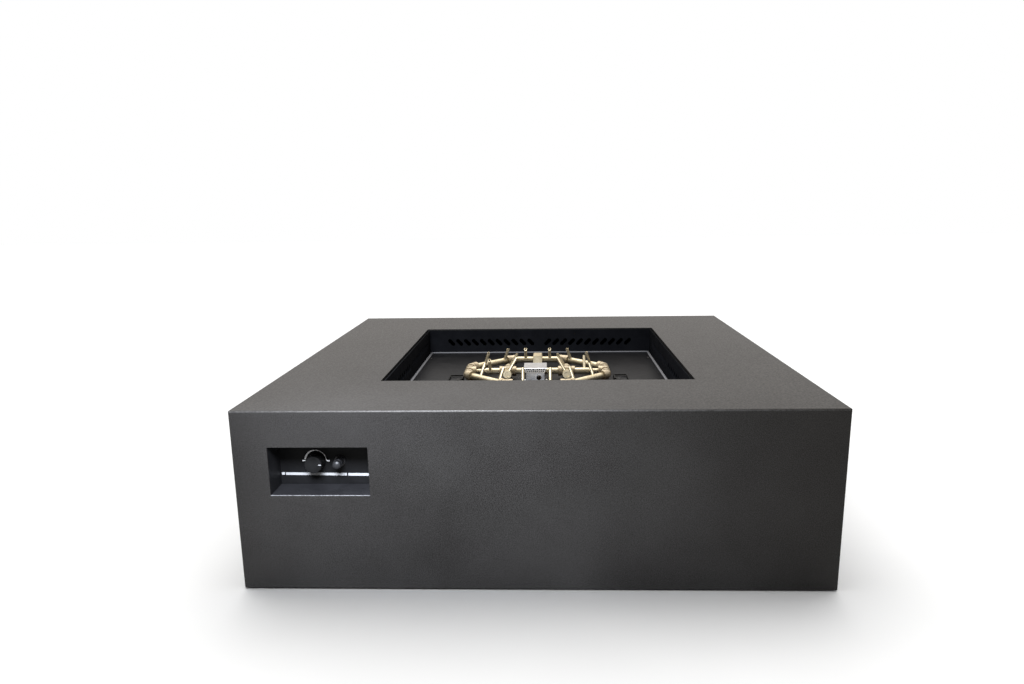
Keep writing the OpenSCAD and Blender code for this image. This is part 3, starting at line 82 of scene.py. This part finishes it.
CAMERA_PLACE = (0.0212, -2.0307, 0.7798)
CAMERA_YAW, CAMERA_PITCH, CAMERA_ROLL = -0.038, -0.2167, -0.0139
CAMERA_LENS, CAMERA_SENSOR = 26.58, 36
CAMERA_SHIFT_X, CAMERA_SHIFT_Y = -0.0058, 0.0259
NEAREST_SEEN, FARTHEST_SEEN = 0.05, 60


def place_camera():
    """The photograph's viewpoint: slightly right of the middle, 0.78 m up, looking down at the table."""
    level = math.cos(CAMERA_PITCH)
    forward = Vector((math.sin(CAMERA_YAW) * level, math.cos(CAMERA_YAW) * level, math.sin(CAMERA_PITCH)))
    flat_right = Vector((math.cos(CAMERA_YAW), -math.sin(CAMERA_YAW), 0))
    flat_up = flat_right.cross(forward)
    right = flat_right * math.cos(CAMERA_ROLL) + flat_up * math.sin(CAMERA_ROLL)
    up = flat_up * math.cos(CAMERA_ROLL) - flat_right * math.sin(CAMERA_ROLL)
    data = bpy.data.cameras.new("camera")
    data.sensor_width = CAMERA_SENSOR
    data.lens = CAMERA_LENS
    data.shift_x = CAMERA_SHIFT_X
    data.shift_y = CAMERA_SHIFT_Y
    data.clip_start = NEAREST_SEEN
    data.clip_end = FARTHEST_SEEN
    camera = add_object("camera", data)
    turn = Matrix((right, up, -forward)).transposed()
    camera.matrix_world = Matrix.Translation(CAMERA_PLACE) @ turn.to_4x4()
    bpy.context.scene.camera = camera


place_camera()


# Materials
# All sizes in them are metres, and a texture's scale is its features per metre.

class Shader:
    """A node material on object coordinates, which are the table's own metres."""

    def __init__(self, name, metallic=0.0, roughness=0.5, specular=0.5):
        self.material = bpy.data.materials.new(name)
        self.material.use_nodes = True
        self.tree = self.material.node_tree
        self.surface = self.tree.nodes["Principled BSDF"]
        self.surface.inputs["Metallic"].default_value = metallic
        self.surface.inputs["Roughness"].default_value = roughness
        self.surface.inputs["Specular IOR Level"].default_value = specular
        self.place = self.node("ShaderNodeTexCoord").outputs["Object"]

    def node(self, kind, **values):
        """A new node with these settings."""
        made = self.tree.nodes.new(kind)
        for key, value in values.items():
            setattr(made, key, value)
        return made

    def link(self, source, target):
        """Leads an output to an input."""
        self.tree.links.new(source, target)

    def stretch(self, x, y, z):
        """The coordinates, scaled along each axis."""
        mapping = self.node("ShaderNodeMapping")
        mapping.inputs["Scale"].default_value = (x, y, z)
        self.link(self.place, mapping.inputs["Vector"])
        return mapping.outputs["Vector"]

    def noise(self, scale, detail=2.0, rough=0.5, where=None):
        """Cloudy noise from 0 to 1, most of it near 0.5."""
        made = self.node("ShaderNodeTexNoise")
        made.inputs["Scale"].default_value = scale
        made.inputs["Detail"].default_value = detail
        made.inputs["Roughness"].default_value = rough
        self.link(where or self.place, made.inputs["Vector"])
        return made.outputs["Fac"]

    def cells(self, scale):
        """Distance to the nearest of many scattered points: small round cells."""
        made = self.node("ShaderNodeTexVoronoi")
        made.inputs["Scale"].default_value = scale
        self.link(self.place, made.inputs["Vector"])
        return made.outputs["Distance"]

    def spread(self, value, low, high, to_low=0.0, to_high=1.0):
        """Maps value from low..high to to_low..to_high, clamped."""
        return map_range(self.tree, value, low, high, to_low, to_high)

    def maths(self, operation, a, b):
        """a and b joined by an operation; each is a number or an output."""
        made = self.node("ShaderNodeMath", operation=operation)
        for socket, value in zip(made.inputs, (a, b)):
            if isinstance(value, (int, float)):
                socket.default_value = value
            else:
                self.link(value, socket)
        return made.outputs["Value"]

    def mixture(self, a, b, share):
        """a and b added together: a has this share of the whole and b the rest."""
        return self.maths("ADD", self.maths("MULTIPLY", a, share), self.maths("MULTIPLY", b, 1 - share))

    def blend(self, factor, a, b):
        """Colour a where factor is 0 and colour b where it is 1; each is a colour or an output."""
        made = self.node("ShaderNodeMix", data_type="RGBA")
        self.link(factor, made.inputs["Factor"])
        for name, value in (("A", a), ("B", b)):
            socket = [s for s in made.inputs if s.name == name and s.type == "RGBA"][0]
            if isinstance(value, tuple):
                socket.default_value = (*value, 1)
            else:
                self.link(value, socket)
        return [s for s in made.outputs if s.type == "RGBA"][0]

    def hollows(self, reach, low, high):
        """0 in holes and narrow gaps, 1 on open faces; reach is how far away a wall still counts."""
        made = self.node("ShaderNodeAmbientOcclusion", samples=12)
        made.inputs["Distance"].default_value = reach
        return self.spread(made.outputs["AO"], low, high)

    def axis(self, index):
        """One coordinate: 0, 1 and 2 are x, y and z."""
        made = self.node("ShaderNodeSeparateXYZ")
        self.link(self.place, made.inputs["Vector"])
        return made.outputs[index]

    def within(self, low, high):
        """1 inside the box low..high and 0 outside it; None leaves that side open."""
        total = None
        for index in range(3):
            for edge, sign in ((low[index], 1), (high[index], -1)):
                if edge is None:
                    continue
                side = self.spread(self.axis(index), edge - sign * MASK_SOFT, edge + sign * MASK_SOFT)
                total = side if total is None else self.maths("MULTIPLY", total, side)
        return total

    def colour(self, value):
        """Leads a colour to the surface."""
        self.link(value, self.surface.inputs["Base Color"])

    def roughness(self, value):
        """Leads a roughness to the surface."""
        self.link(value, self.surface.inputs["Roughness"])

    def bump(self, height, strength, distance, previous=None):
        """Bends the surface's normals by a height map, on top of a previous bump if there is one."""
        made = self.node("ShaderNodeBump")
        made.inputs["Strength"].default_value = strength
        made.inputs["Distance"].default_value = distance
        self.link(height, made.inputs["Height"])
        if previous is not None:
            self.link(previous, made.inputs["Normal"])
        self.link(made.outputs["Normal"], self.surface.inputs["Normal"])
        return made.outputs["Normal"]


# Half the width of the soft edge round a masked box
MASK_SOFT = 0.0002
# Stretches of a noise's values that are mapped to the full range: most of them lie in the first
MIDDLE = (0.35, 0.65)
WIDE = (0.3, 0.7)

BEAD_HIGHLIGHT_GREY = (0.15, 0.15, 0.155)
HEAT_STAIN = (0.50, 0.38, 0.23)
BROWN_SHADE = (0.22, 0.15, 0.09)
BORE_SHADE = (0.012, 0.010, 0.008)
FORGED_DARK, FORGED_LIGHT = (0.46, 0.385, 0.26), (0.66, 0.57, 0.41)
PATINA = (0.28, 0.19, 0.11)
JOINT_SHADE = (0.12, 0.085, 0.05)
SHADE_BLACK = (0.006, 0.006, 0.006)
ZINC_GREY, ZINC_YELLOW = (0.52, 0.53, 0.55), (0.70, 0.69, 0.64)


def powder_coat(name, dark, light, grain, rough=(0.36, 0.5), height=0.00022, specular=0.5, tint=(1, 1, 1),
                highlit_edges=()):
    """Fine-textured powder coat: a speckle of two tones over slow drifts of tone, and an orange-peel bump.
    Each box in the last argument gives the colour of a painted highlight on the sheet edges that lie in it."""
    s = Shader(name, specular=specular)
    s.surface.inputs["Specular Tint"].default_value = (*tint, 1)
    fine = s.noise(grain, rough=0.6)
    drift = s.noise(3.1, detail=3.0, rough=0.6)
    base = s.blend(s.spread(s.mixture(fine, drift, 0.78), 0.37, 0.64), dark, light)
    # Painted highlights: the sheet edges in each listed box turn lighter, in patches.
    for low, high, colour in highlit_edges:
        patchy = s.spread(s.noise(260, detail=3.0, rough=0.7), 0.40, 0.60, to_low=0.35)
        edge_highlight = s.maths("MULTIPLY", s.within(low, high), patchy)
        base = s.blend(edge_highlight, base, colour)
    s.colour(base)
    peel = s.noise(grain * 0.4)
    s.roughness(s.spread(s.mixture(fine, peel, 0.4), 0.36, 0.64, *rough))
    s.bump(fine, strength=0.3, distance=height, previous=s.bump(peel, strength=0.2, distance=height))
    return s.material


def satin_black(name, dark, light, rough, specular, bead_highlight=None):
    """Heat-resistant satin coat with faint mottling and specks.
    The optional pair of heights gives where it turns pale, a painted highlight on the bead above them."""
    s = Shader(name, specular=specular)
    mottle = s.noise(24, detail=4.0, rough=0.6)
    fine = s.noise(1500)
    base = s.blend(s.spread(s.mixture(mottle, fine, 0.5), *MIDDLE), dark, light)
    if bead_highlight:
        # Painted highlight: pale grey on the bead above the given heights.
        base = s.blend(s.spread(s.axis(2), *bead_highlight), base, BEAD_HIGHLIGHT_GREY)
    s.colour(base)
    s.roughness(s.spread(mottle, *WIDE, *rough))
    s.bump(fine, strength=0.25, distance=0.00012)
    return s.material


def polished_brass(name, dark, light, rough=(0.36, 0.50), metallic=0.78, deep_shade=False):
    """Drawn brass tube: bright, a little uneven, with heat stains, and painted shade in its hollows: black
    when the darker shade is asked for, brown otherwise.
    """
    s = Shader(name, metallic=metallic)
    cloud = s.noise(45, detail=3.0, rough=0.6)
    stain = s.noise(16, detail=4.0, rough=0.7)
    base = s.blend(s.spread(cloud, *MIDDLE), dark, light)
    base = s.blend(s.spread(stain, 0.60, 0.78), base, HEAT_STAIN)
    # Painted shade in bores, holes and gaps: black for the darker kind, brown otherwise.
    if deep_shade:
        base = s.blend(s.hollows(reach=0.012, low=0.12, high=0.42), BORE_SHADE, base)
    else:
        base = s.blend(s.hollows(reach=0.010, low=0.20, high=0.75), BROWN_SHADE, base)
    s.colour(base)
    s.roughness(s.spread(s.noise(160, detail=3.0), *WIDE, *rough))
    s.bump(s.noise(900), strength=0.12, distance=0.00008)
    return s.material


def cast_brass(name, low_z, high_z):
    """Forged brass fitting: matte tan skin with pits, a patchy brown patina, browner towards the bottom
    between two heights, and painted brown shade in its hollows and joints.
    """
    s = Shader(name, metallic=0.60)
    pits = s.cells(700)
    cloud = s.noise(70, detail=4.0, rough=0.65)
    base = s.blend(s.spread(cloud, *MIDDLE), FORGED_DARK, FORGED_LIGHT)
    depth = s.spread(s.axis(2), low_z, high_z, 0.55, 0.0)
    patina = s.spread(s.maths("ADD", depth, s.noise(55, detail=4.0, rough=0.7)), 0.62, 0.95)
    base = s.blend(patina, base, PATINA)
    # Painted shade: brown in hollows, at joints and where parts meet.
    s.colour(s.blend(s.hollows(reach=0.010, low=0.10, high=0.60), JOINT_SHADE, base))
    s.roughness(s.spread(cloud, *WIDE, 0.36, 0.55))
    s.bump(pits, strength=0.3, distance=0.00015)
    return s.material


def brushed(name, dark, light, along, rough, shade_boxes=()):
    """Rolled or brushed metal with a fine grain along one axis. The listed boxes are painted black, as
    shade.
    """
    s = Shader(name, metallic=1.0)
    scale = [60 if axis == along else 2600 for axis in "xyz"]
    grain = s.noise(1.0, where=s.stretch(*scale))
    cloud = s.noise(60, detail=3.0)
    base = s.blend(s.spread(s.mixture(grain, cloud, 0.35), *MIDDLE), dark, light)
    # Painted shade: black inside each listed box.
    for low, high in shade_boxes:
        base = s.blend(s.within(low, high), base, SHADE_BLACK)
    s.colour(base)
    s.roughness(s.spread(grain, *WIDE, *rough))
    s.bump(grain, strength=0.08, distance=0.00004)
    return s.material


def moulded(name, dark, light, rough, grain=1800, specular=0.5):
    """Moulded plastic or rubber: a faint spark-eroded grain and slow gloss changes."""
    s = Shader(name, specular=specular)
    fine = s.noise(grain)
    drift = s.noise(40)
    s.colour(s.blend(s.spread(s.mixture(fine, drift, 0.5), *MIDDLE), dark, light))
    s.roughness(s.spread(drift, *WIDE, *rough))
    s.bump(fine, strength=0.3, distance=0.00008)
    return s.material


def zinc(name):
    """Zinc-plated steel with the faint spangle and colour of its passivation."""
    s = Shader(name, metallic=1.0)
    spangle = s.cells(420)
    tint = s.noise(200)
    s.colour(s.blend(s.spread(tint, 0.4, 0.6), ZINC_GREY, ZINC_YELLOW))
    s.roughness(s.spread(spangle, 0.0, 0.8, 0.28, 0.42))
    s.bump(spangle, strength=0.1, distance=0.00005)
    return s.material


# Places in the materials, measured from the frame's own boxes

BODY_LOW, BODY_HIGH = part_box("body_shell")
PANEL_LOW, PANEL_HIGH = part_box("control_panel")
TRAY_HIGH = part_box("burner_tray")[1]
COVER_LOW, COVER_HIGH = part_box("pilot_cover")
BASE_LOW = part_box("pilot_base")[0]

# Painted highlight on the cut edge of the front skirt, along the lower side of the recess's opening
CUT_EDGE_HIGHLIGHT = (0.20, 0.20, 0.205)
CUT_LOW = (PANEL_LOW.x - 0.0004, BODY_LOW.y - 0.0001, PANEL_LOW.z - 0.0010)
CUT_HIGH = (PANEL_HIGH.x + 0.0004, BODY_LOW.y + 0.0033, PANEL_LOW.z - 0.0002)

# Painted highlight on the bends between the deck and the four skirts
BEND_HIGHLIGHT = (0.045, 0.0435, 0.042)
BEND_Z = BODY_HIGH.z - 0.0040
BEND_XY = BODY_HIGH.x - 0.0011
EDGE_HIGHLIGHTS = [
    (CUT_LOW, CUT_HIGH, CUT_EDGE_HIGHLIGHT),
    ((None, None, BEND_Z), (None, -BEND_XY, None), BEND_HIGHLIGHT),
    ((None, BEND_XY, BEND_Z), (None, None, None), BEND_HIGHLIGHT),
    ((None, None, BEND_Z), (-BEND_XY, None, None), BEND_HIGHLIGHT),
    ((BEND_XY, None, BEND_Z), (None, None, None), BEND_HIGHLIGHT),
]

# The bowl's floor plate has a painted highlight on its bead above these heights, and the brass stands on the
# plate
BEAD_HIGHLIGHT_Z = (TRAY_HIGH.z - 0.0032, TRAY_HIGH.z - 0.0020)
PATINA_LOW, PATINA_HIGH = TRAY_HIGH.z + 0.0040, TRAY_HIGH.z + 0.0180

# Painted black shade inside the pilot box: its cover below the top plate, and its base between the sides
# and under the cover
PILOT_X = (COVER_LOW.x + COVER_HIGH.x) / 2
SHADE_HALF = 0.0244
COVER_SHADE = [
    ((PILOT_X - SHADE_HALF, COVER_LOW.y + 0.0007, None),
     (PILOT_X + SHADE_HALF, COVER_HIGH.y - 0.0007, COVER_HIGH.z - 0.0010)),
]
BASE_SHADE = [
    ((PILOT_X - SHADE_HALF, BASE_LOW.y + 0.0014, BASE_LOW.z + 0.0005), (PILOT_X + SHADE_HALF, None, None)),
    ((None, None, COVER_LOW.z + 0.0004), (None, None, None)),
]

BODY = powder_coat("body_powder_coat", (0.001, 0.00097, 0.00094), (0.024, 0.0232, 0.0224), 640,
                   rough=(0.31, 0.48), height=0.0003, specular=0.20, tint=(1.0, 0.945, 0.895), highlit_edges=EDGE_HIGHLIGHTS)
FRAME = powder_coat("frame_powder_coat", (0.020, 0.020, 0.022), (0.060, 0.060, 0.062), 900)
WELL = satin_black("well_coat", (0.004, 0.0042, 0.005), (0.0085, 0.0088, 0.0102), rough=(0.8, 0.95),
                   specular=0.01)
TRAY = satin_black("tray_coat", (0.006, 0.006, 0.0065), (0.011, 0.011, 0.0115), rough=(0.34, 0.44),
                   specular=0.05, bead_highlight=BEAD_HIGHLIGHT_Z)
RECESS = satin_black("recess_coat", (0.006, 0.006, 0.0067), (0.012, 0.012, 0.0132), rough=(0.45, 0.6),
                     specular=0.1)
PANEL = satin_black("panel_coat", (0.002, 0.002, 0.0022), (0.005, 0.005, 0.0055), rough=(0.5, 0.65),
                    specular=0.12)
WIRE = satin_black("handle_coat", (0.002, 0.002, 0.002), (0.005, 0.005, 0.005), rough=(0.35, 0.5),
                   specular=0.08)
SCREW = satin_black("blackened_screw", (0.010, 0.010, 0.011), (0.020, 0.020, 0.022), rough=(0.4, 0.55),
                    specular=0.3)
BRASS = polished_brass("brass_tube", (0.70, 0.60, 0.40), (0.86, 0.78, 0.57))
DULL_BRASS = polished_brass("brass_dull", (0.40, 0.335, 0.215), (0.53, 0.455, 0.31), rough=(0.44, 0.58),
                            metallic=0.9, deep_shade=True)
FITTING = cast_brass("brass_fitting", PATINA_LOW, PATINA_HIGH)
UNDER_FITTING = cast_brass("brass_fitting_below", 0.0, 0.001)
COVER = brushed("stainless_cover", (0.38, 0.38, 0.38), (0.50, 0.495, 0.49), "x", rough=(0.30, 0.42),
                shade_boxes=COVER_SHADE)
STAINLESS = brushed("stainless_sheet", (0.31, 0.31, 0.31), (0.42, 0.415, 0.41), "x", rough=(0.32, 0.45),
                    shade_boxes=BASE_SHADE)
ALUMINIUM = brushed("drawn_aluminium", (0.62, 0.63, 0.65), (0.78, 0.78, 0.80), "y", rough=(0.3, 0.45))
CASTING = powder_coat("valve_casting", (0.42, 0.43, 0.45), (0.60, 0.61, 0.63), 700, rough=(0.35, 0.5))
COPPER = brushed("copper_probe", (0.62, 0.33, 0.20), (0.80, 0.47, 0.31), "z", rough=(0.3, 0.45))
ZINC = zinc("zinc_plated_steel")
RUBBER = moulded("foot_rubber", (0.012, 0.012, 0.012), (0.028, 0.028, 0.028), rough=(0.65, 0.8))
KNOB = moulded("knob_plastic", (0.002, 0.002, 0.0021), (0.005, 0.005, 0.0052), rough=(0.45, 0.6),
               specular=0.12)
BUTTON = moulded("button_plastic", (0.008, 0.008, 0.009), (0.016, 0.016, 0.017), rough=(0.38, 0.5),
                 specular=0.25)
BEZEL = moulded("bezel_plastic", (0.008, 0.008, 0.009), (0.018, 0.018, 0.019), rough=(0.25, 0.35))
MODULE = moulded("module_plastic", (0.020, 0.020, 0.022), (0.035, 0.035, 0.037), rough=(0.45, 0.6))
WHITE = moulded("white_mark", (0.72, 0.72, 0.72), (0.84, 0.84, 0.85), rough=(0.4, 0.5), grain=900)
# The white print again, darker: painted shade on the stripe and the knob's pointer, which the key light
# reaches most.
SHADED_WHITE_PRINT = moulded("stripe_mark", (0.24, 0.24, 0.243), (0.30, 0.30, 0.304), rough=(0.5, 0.6), grain=900,
                 specular=0.3)
CERAMIC = moulded("white_ceramic", (0.78, 0.77, 0.73), (0.90, 0.89, 0.85), rough=(0.15, 0.25))
HOSE = moulded("hose_jacket", (0.62, 0.50, 0.08), (0.76, 0.63, 0.14), rough=(0.4, 0.5))
LEAD = moulded("lead_jacket", (0.36, 0.07, 0.04), (0.48, 0.12, 0.06), rough=(0.5, 0.6))

FINISHES = {
    "body_shell": BODY, "corner_braces": FRAME, "foot_pads": RUBBER, "foot_screws": ZINC,
    "rail_brackets": FRAME, "well_rails": FRAME, "rail_bolts": ZINC, "burner_well": WELL,
    "well_screws": ZINC, "burner_tray": TRAY, "tray_screws": SCREW, "handle_clips": WIRE,
    "clip_rivets": SCREW, "lift_handle_left": WIRE, "lift_handle_right": WIRE,
    "ring_pipes": BRASS, "ring_elbows": FITTING, "side_tees": FITTING, "rear_block": DULL_BRASS,
    "crossbar_pipes": BRASS, "thin_nipples": BRASS, "cross_fittings": FITTING, "stub_caps": DULL_BRASS,
    "centre_tee": FITTING, "ring_jets": DULL_BRASS, "inner_jets": DULL_BRASS, "inlet_riser": BRASS,
    "riser_locknuts": UNDER_FITTING, "riser_elbow": UNDER_FITTING, "air_mixer": ZINC,
    "gas_orifice": UNDER_FITTING, "pilot_base": STAINLESS, "pilot_cover": COVER,
    "pilot_screws": ZINC, "pilot_burner": UNDER_FITTING, "spark_insulator": CERAMIC,
    "spark_rod": ZINC, "thermocouple": COPPER, "tray_grommet": RUBBER, "control_recess": RECESS,
    "control_panel": PANEL, "panel_studs": ZINC, "gas_valve": CASTING, "valve_screws": ZINC,
    "valve_push_rod": ZINC, "valve_spring": ZINC, "valve_stem": UNDER_FITTING,
    "control_knob": KNOB, "knob_pointer": SHADED_WHITE_PRINT, "igniter_module": MODULE,
    "igniter_bezel": BEZEL, "igniter_button": BUTTON, "igniter_spring": ZINC,
    "inlet_fitting": UNDER_FITTING, "outlet_fitting": UNDER_FITTING, "burner_hose": HOSE,
    "pilot_tube": ALUMINIUM, "spark_lead": LEAD, "thermocouple_lead": COPPER,
}


def finish_nodes():
    """Gives every CAD node its own material."""
    for name, obj in NODES.items():
        obj.data.materials.clear()
        obj.data.materials.append(FINISHES[name])


finish_nodes()


# Pilot cover

# How far each side skirt leans in at its lower edge
SKIRT_LEAN = 0.0052


def lean_cover():
    """The cover's two side skirts, leaning in from the plate's edge to the box below them."""
    half_width = COVER_HIGH.x - PILOT_X
    data = NODES["pilot_cover"].data.copy()
    for vertex in data.vertices:
        depth = (COVER_HIGH.z - vertex.co.z) / (COVER_HIGH.z - COVER_LOW.z)
        vertex.co.x = PILOT_X + (vertex.co.x - PILOT_X) * (1 - depth * SKIRT_LEAN / half_width)
    cover = add_object("pilot_cover_leaning", data)
    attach(cover, "table")
    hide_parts("pilot_cover")


lean_cover()


# Printed marks on the control panel

PRINT_FRONT = PANEL_LOW.y - 0.00008
PRINT_BACK = PANEL_LOW.y - 0.00001
SCALE_X = PANEL_LOW.x + 0.0756
SCALE_Z = PANEL_LOW.z + 0.0510
# Inner and outer radius of the scale's arc: where it starts, where it is thickest, at its end, and of a dash
ARC_THIN = (0.0219, 0.0236)
ARC_THICK = (0.0203, 0.0238)
ARC_END = (0.0208, 0.0237)
ARC_DASH = (0.0220, 0.0236)
# Where each dash starts and ends, in degrees from the scale's right-hand end
DASHES = ((70, 88), (57, 66.5), (41.5, 53.5), (27, 38), (16, 24), (3, 13))
# Left and right end and lower and upper edge of the two end ticks, from the scale's middle
TICKS = ((-0.0282, -0.0207, -0.0013, 0.0011), (0.0230, 0.0293, -0.0017, 0.0010))
# The same of the stripe's square and its two lengths, from the panel's lower left corner, and how much
# lower each one's right end is
STRIPE_PIECES = (
    (0.0020, 0.0083, 0.0198, 0.0255, 0.0),
    (0.0105, 0.1397, 0.0195, 0.0252, 0.0015),
    (0.1426, 0.2010, 0.0178, 0.0236, 0.0006),
)


def solid_from_outlines(name, outlines, body, material):
    """Thin closed plates on the panel's face, one for each outline of (x, z) points."""
    mesh = bmesh.new()
    for outline in outlines:
        front = [mesh.verts.new((x, PRINT_FRONT, z)) for x, z in outline]
        back = [mesh.verts.new((x, PRINT_BACK, z)) for x, z in outline]
        mesh.faces.new(front)
        mesh.faces.new(list(reversed(back)))
        count = len(outline)
        for i in range(count):
            j = (i + 1) % count
            mesh.faces.new((front[i], back[i], back[j], front[j]))
    bmesh.ops.recalc_face_normals(mesh, faces=mesh.faces)
    data = bpy.data.meshes.new(name)
    mesh.to_mesh(data)
    mesh.free()
    obj = add_object(name, data)
    data.materials.append(material)
    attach(obj, body)


def arc_piece(start, end, at_start, at_end, steps=24):
    """Outline of a stretch of the scale's arc, from one angle in degrees to another.
    at_start and at_end are the inner and outer radius there."""
    edges = ([], [])
    for i in range(steps + 1):
        part = i / steps
        angle = math.radians(start + (end - start) * part)
        for side, edge in enumerate(edges):
            radius = at_start[side] + (at_end[side] - at_start[side]) * part
            edge.append((SCALE_X + radius * math.cos(angle), SCALE_Z + radius * math.sin(angle)))
    inner, outer = edges
    return outer + list(reversed(inner))


def bar(x0, x1, z0, z1, fall=0.0):
    """Outline of a bar; fall is how much lower its right end is."""
    return [(x0, z0), (x1, z0 - fall), (x1, z1 - fall), (x0, z1)]


def draw_scale():
    """Flame-height scale: an arc that grows thicker to the left, dashes to the right and two end ticks."""
    outlines = [
        arc_piece(92, 148, ARC_THIN, ARC_THICK),
        arc_piece(148, 173, ARC_THICK, ARC_END, steps=12),
    ]
    for start, end in DASHES:
        outlines.append(arc_piece(start, end, ARC_DASH, ARC_DASH, steps=6))
    for left, right, lower, upper in TICKS:
        outlines.append(bar(SCALE_X + left, SCALE_X + right, SCALE_Z + lower, SCALE_Z + upper))
    solid_from_outlines("panel_scale", outlines, "table", WHITE)


def draw_stripe():
    """Plain white stripe across the panel in two lengths, with a small square at its left end."""
    outlines = []
    for left, right, lower, upper, fall in STRIPE_PIECES:
        outlines.append(bar(PANEL_LOW.x + left, PANEL_LOW.x + right, PANEL_LOW.z + lower,
                            PANEL_LOW.z + upper, fall))
    solid_from_outlines("panel_stripe", outlines, "table", SHADED_WHITE_PRINT)


draw_scale()
draw_stripe()


# Floor and light

WARM = (1.0, 0.96, 0.92)
PURE_WHITE = (1, 1, 1, 1)
# Strength of the surroundings in front of the table, behind it, and what the sky adds above
FRONT_LIGHT, BACK_LIGHT, TOP_LIGHT = 0.03, 0.92, 0.5
# A direction's y between which the light changes from front to back, and its z from the sides to the top
FRONT_TO_BACK = (-0.5, 0.6)
SIDE_TO_TOP = (0.25, 0.95)
SUN_POWER, SUN_ANGLE, SUN_FROM = 2.0, 60, (-0.12, 0.35, 1.0)
KEY_PLACE, KEY_AIM = (-0.31, -1.35, 1.0), (-0.24, -0.6, 0.2)
KEY_SIZE, KEY_SPREAD = (0.5, 0.3), 80
KEY_POWER, KEY_COLOUR = 17, (0.85, 0.90, 1.0)
# Starts of the names of the pieces that the key light reaches
KEY_LIT = ("body_shell", "ring_jets", "inner_jets", "stub_caps", "rear_block", "burner_", "pilot_",
           "control_", "knob_", "igniter_", "panel_")
FLOOR_SIZE, FLOOR_CELLS, FLOOR_DROP = 14, 8, 0.0002
FLOOR_DARK, FLOOR_LIGHT = (0.86, 0.895, 0.93), (0.89, 0.925, 0.96)


def make_floor():
    """A wide pale floor, a hair below the feet."""
    mesh = bmesh.new()
    bmesh.ops.create_grid(mesh, x_segments=FLOOR_CELLS, y_segments=FLOOR_CELLS, size=FLOOR_SIZE)
    data = bpy.data.meshes.new("floor")
    mesh.to_mesh(data)
    mesh.free()
    floor = add_object("floor", data)
    floor.location = (0, 0, -FLOOR_DROP)
    s = Shader("pale_floor", roughness=0.9, specular=0.1)
    s.colour(s.blend(s.spread(s.noise(3.0), *WIDE), FLOOR_DARK, FLOOR_LIGHT))
    data.materials.append(s.material)


def soft_key():
    """Cool soft light above and before the table's front, flagged off the floor and the burner's pipes."""
    data = bpy.data.lights.new("key", "AREA")
    data.shape = "RECTANGLE"
    data.size, data.size_y = KEY_SIZE
    data.spread = math.radians(KEY_SPREAD)
    data.energy = KEY_POWER
    data.color = KEY_COLOUR
    light = add_object("key", data)
    place = Vector(KEY_PLACE)
    light.location = place
    light.rotation_euler = (place - Vector(KEY_AIM)).to_track_quat("Z", "Y").to_euler()
    lit = bpy.data.collections.new("key_light")
    for obj in bpy.data.objects:
        if obj.name.startswith(KEY_LIT):
            lit.objects.link(obj)
    light.light_linking.receiver_collection = lit


def light_surroundings():
    """A white sweep behind and above the table, and a dim room in front. The camera sees plain white."""
    world = bpy.data.worlds.new("studio")
    world.use_nodes = True
    tree = world.node_tree
    where = tree.nodes.new("ShaderNodeTexCoord")
    split = tree.nodes.new("ShaderNodeSeparateXYZ")
    tree.links.new(where.outputs["Generated"], split.inputs["Vector"])
    behind = map_range(tree, split.outputs["Y"], *FRONT_TO_BACK, FRONT_LIGHT, BACK_LIGHT)
    above = map_range(tree, split.outputs["Z"], *SIDE_TO_TOP, 0.0, TOP_LIGHT)
    total = tree.nodes.new("ShaderNodeMath")
    total.operation = "ADD"
    tree.links.new(behind, total.inputs[0])
    tree.links.new(above, total.inputs[1])
    lit = tree.nodes["Background"]
    lit.inputs["Color"].default_value = (*WARM, 1)
    tree.links.new(total.outputs["Value"], lit.inputs["Strength"])
    seen = tree.nodes.new("ShaderNodeBackground")
    seen.inputs["Color"].default_value = PURE_WHITE
    path = tree.nodes.new("ShaderNodeLightPath")
    mix = tree.nodes.new("ShaderNodeMixShader")
    tree.links.new(path.outputs["Is Camera Ray"], mix.inputs["Fac"])
    tree.links.new(lit.outputs["Background"], mix.inputs[1])
    tree.links.new(seen.outputs["Background"], mix.inputs[2])
    tree.links.new(mix.outputs["Shader"], tree.nodes["World Output"].inputs["Surface"])
    bpy.context.scene.world = world


def soft_overhead():
    """One broad soft light from above and behind."""
    data = bpy.data.lights.new("overhead", "SUN")
    data.energy = SUN_POWER
    data.angle = math.radians(SUN_ANGLE)
    data.color = WARM
    light = add_object("overhead", data)
    light.rotation_euler = Vector(SUN_FROM).to_track_quat("Z", "Y").to_euler()


light_surroundings()
soft_overhead()
make_floor()
soft_key()
bpy.context.scene.view_settings.view_transform = "Standard"
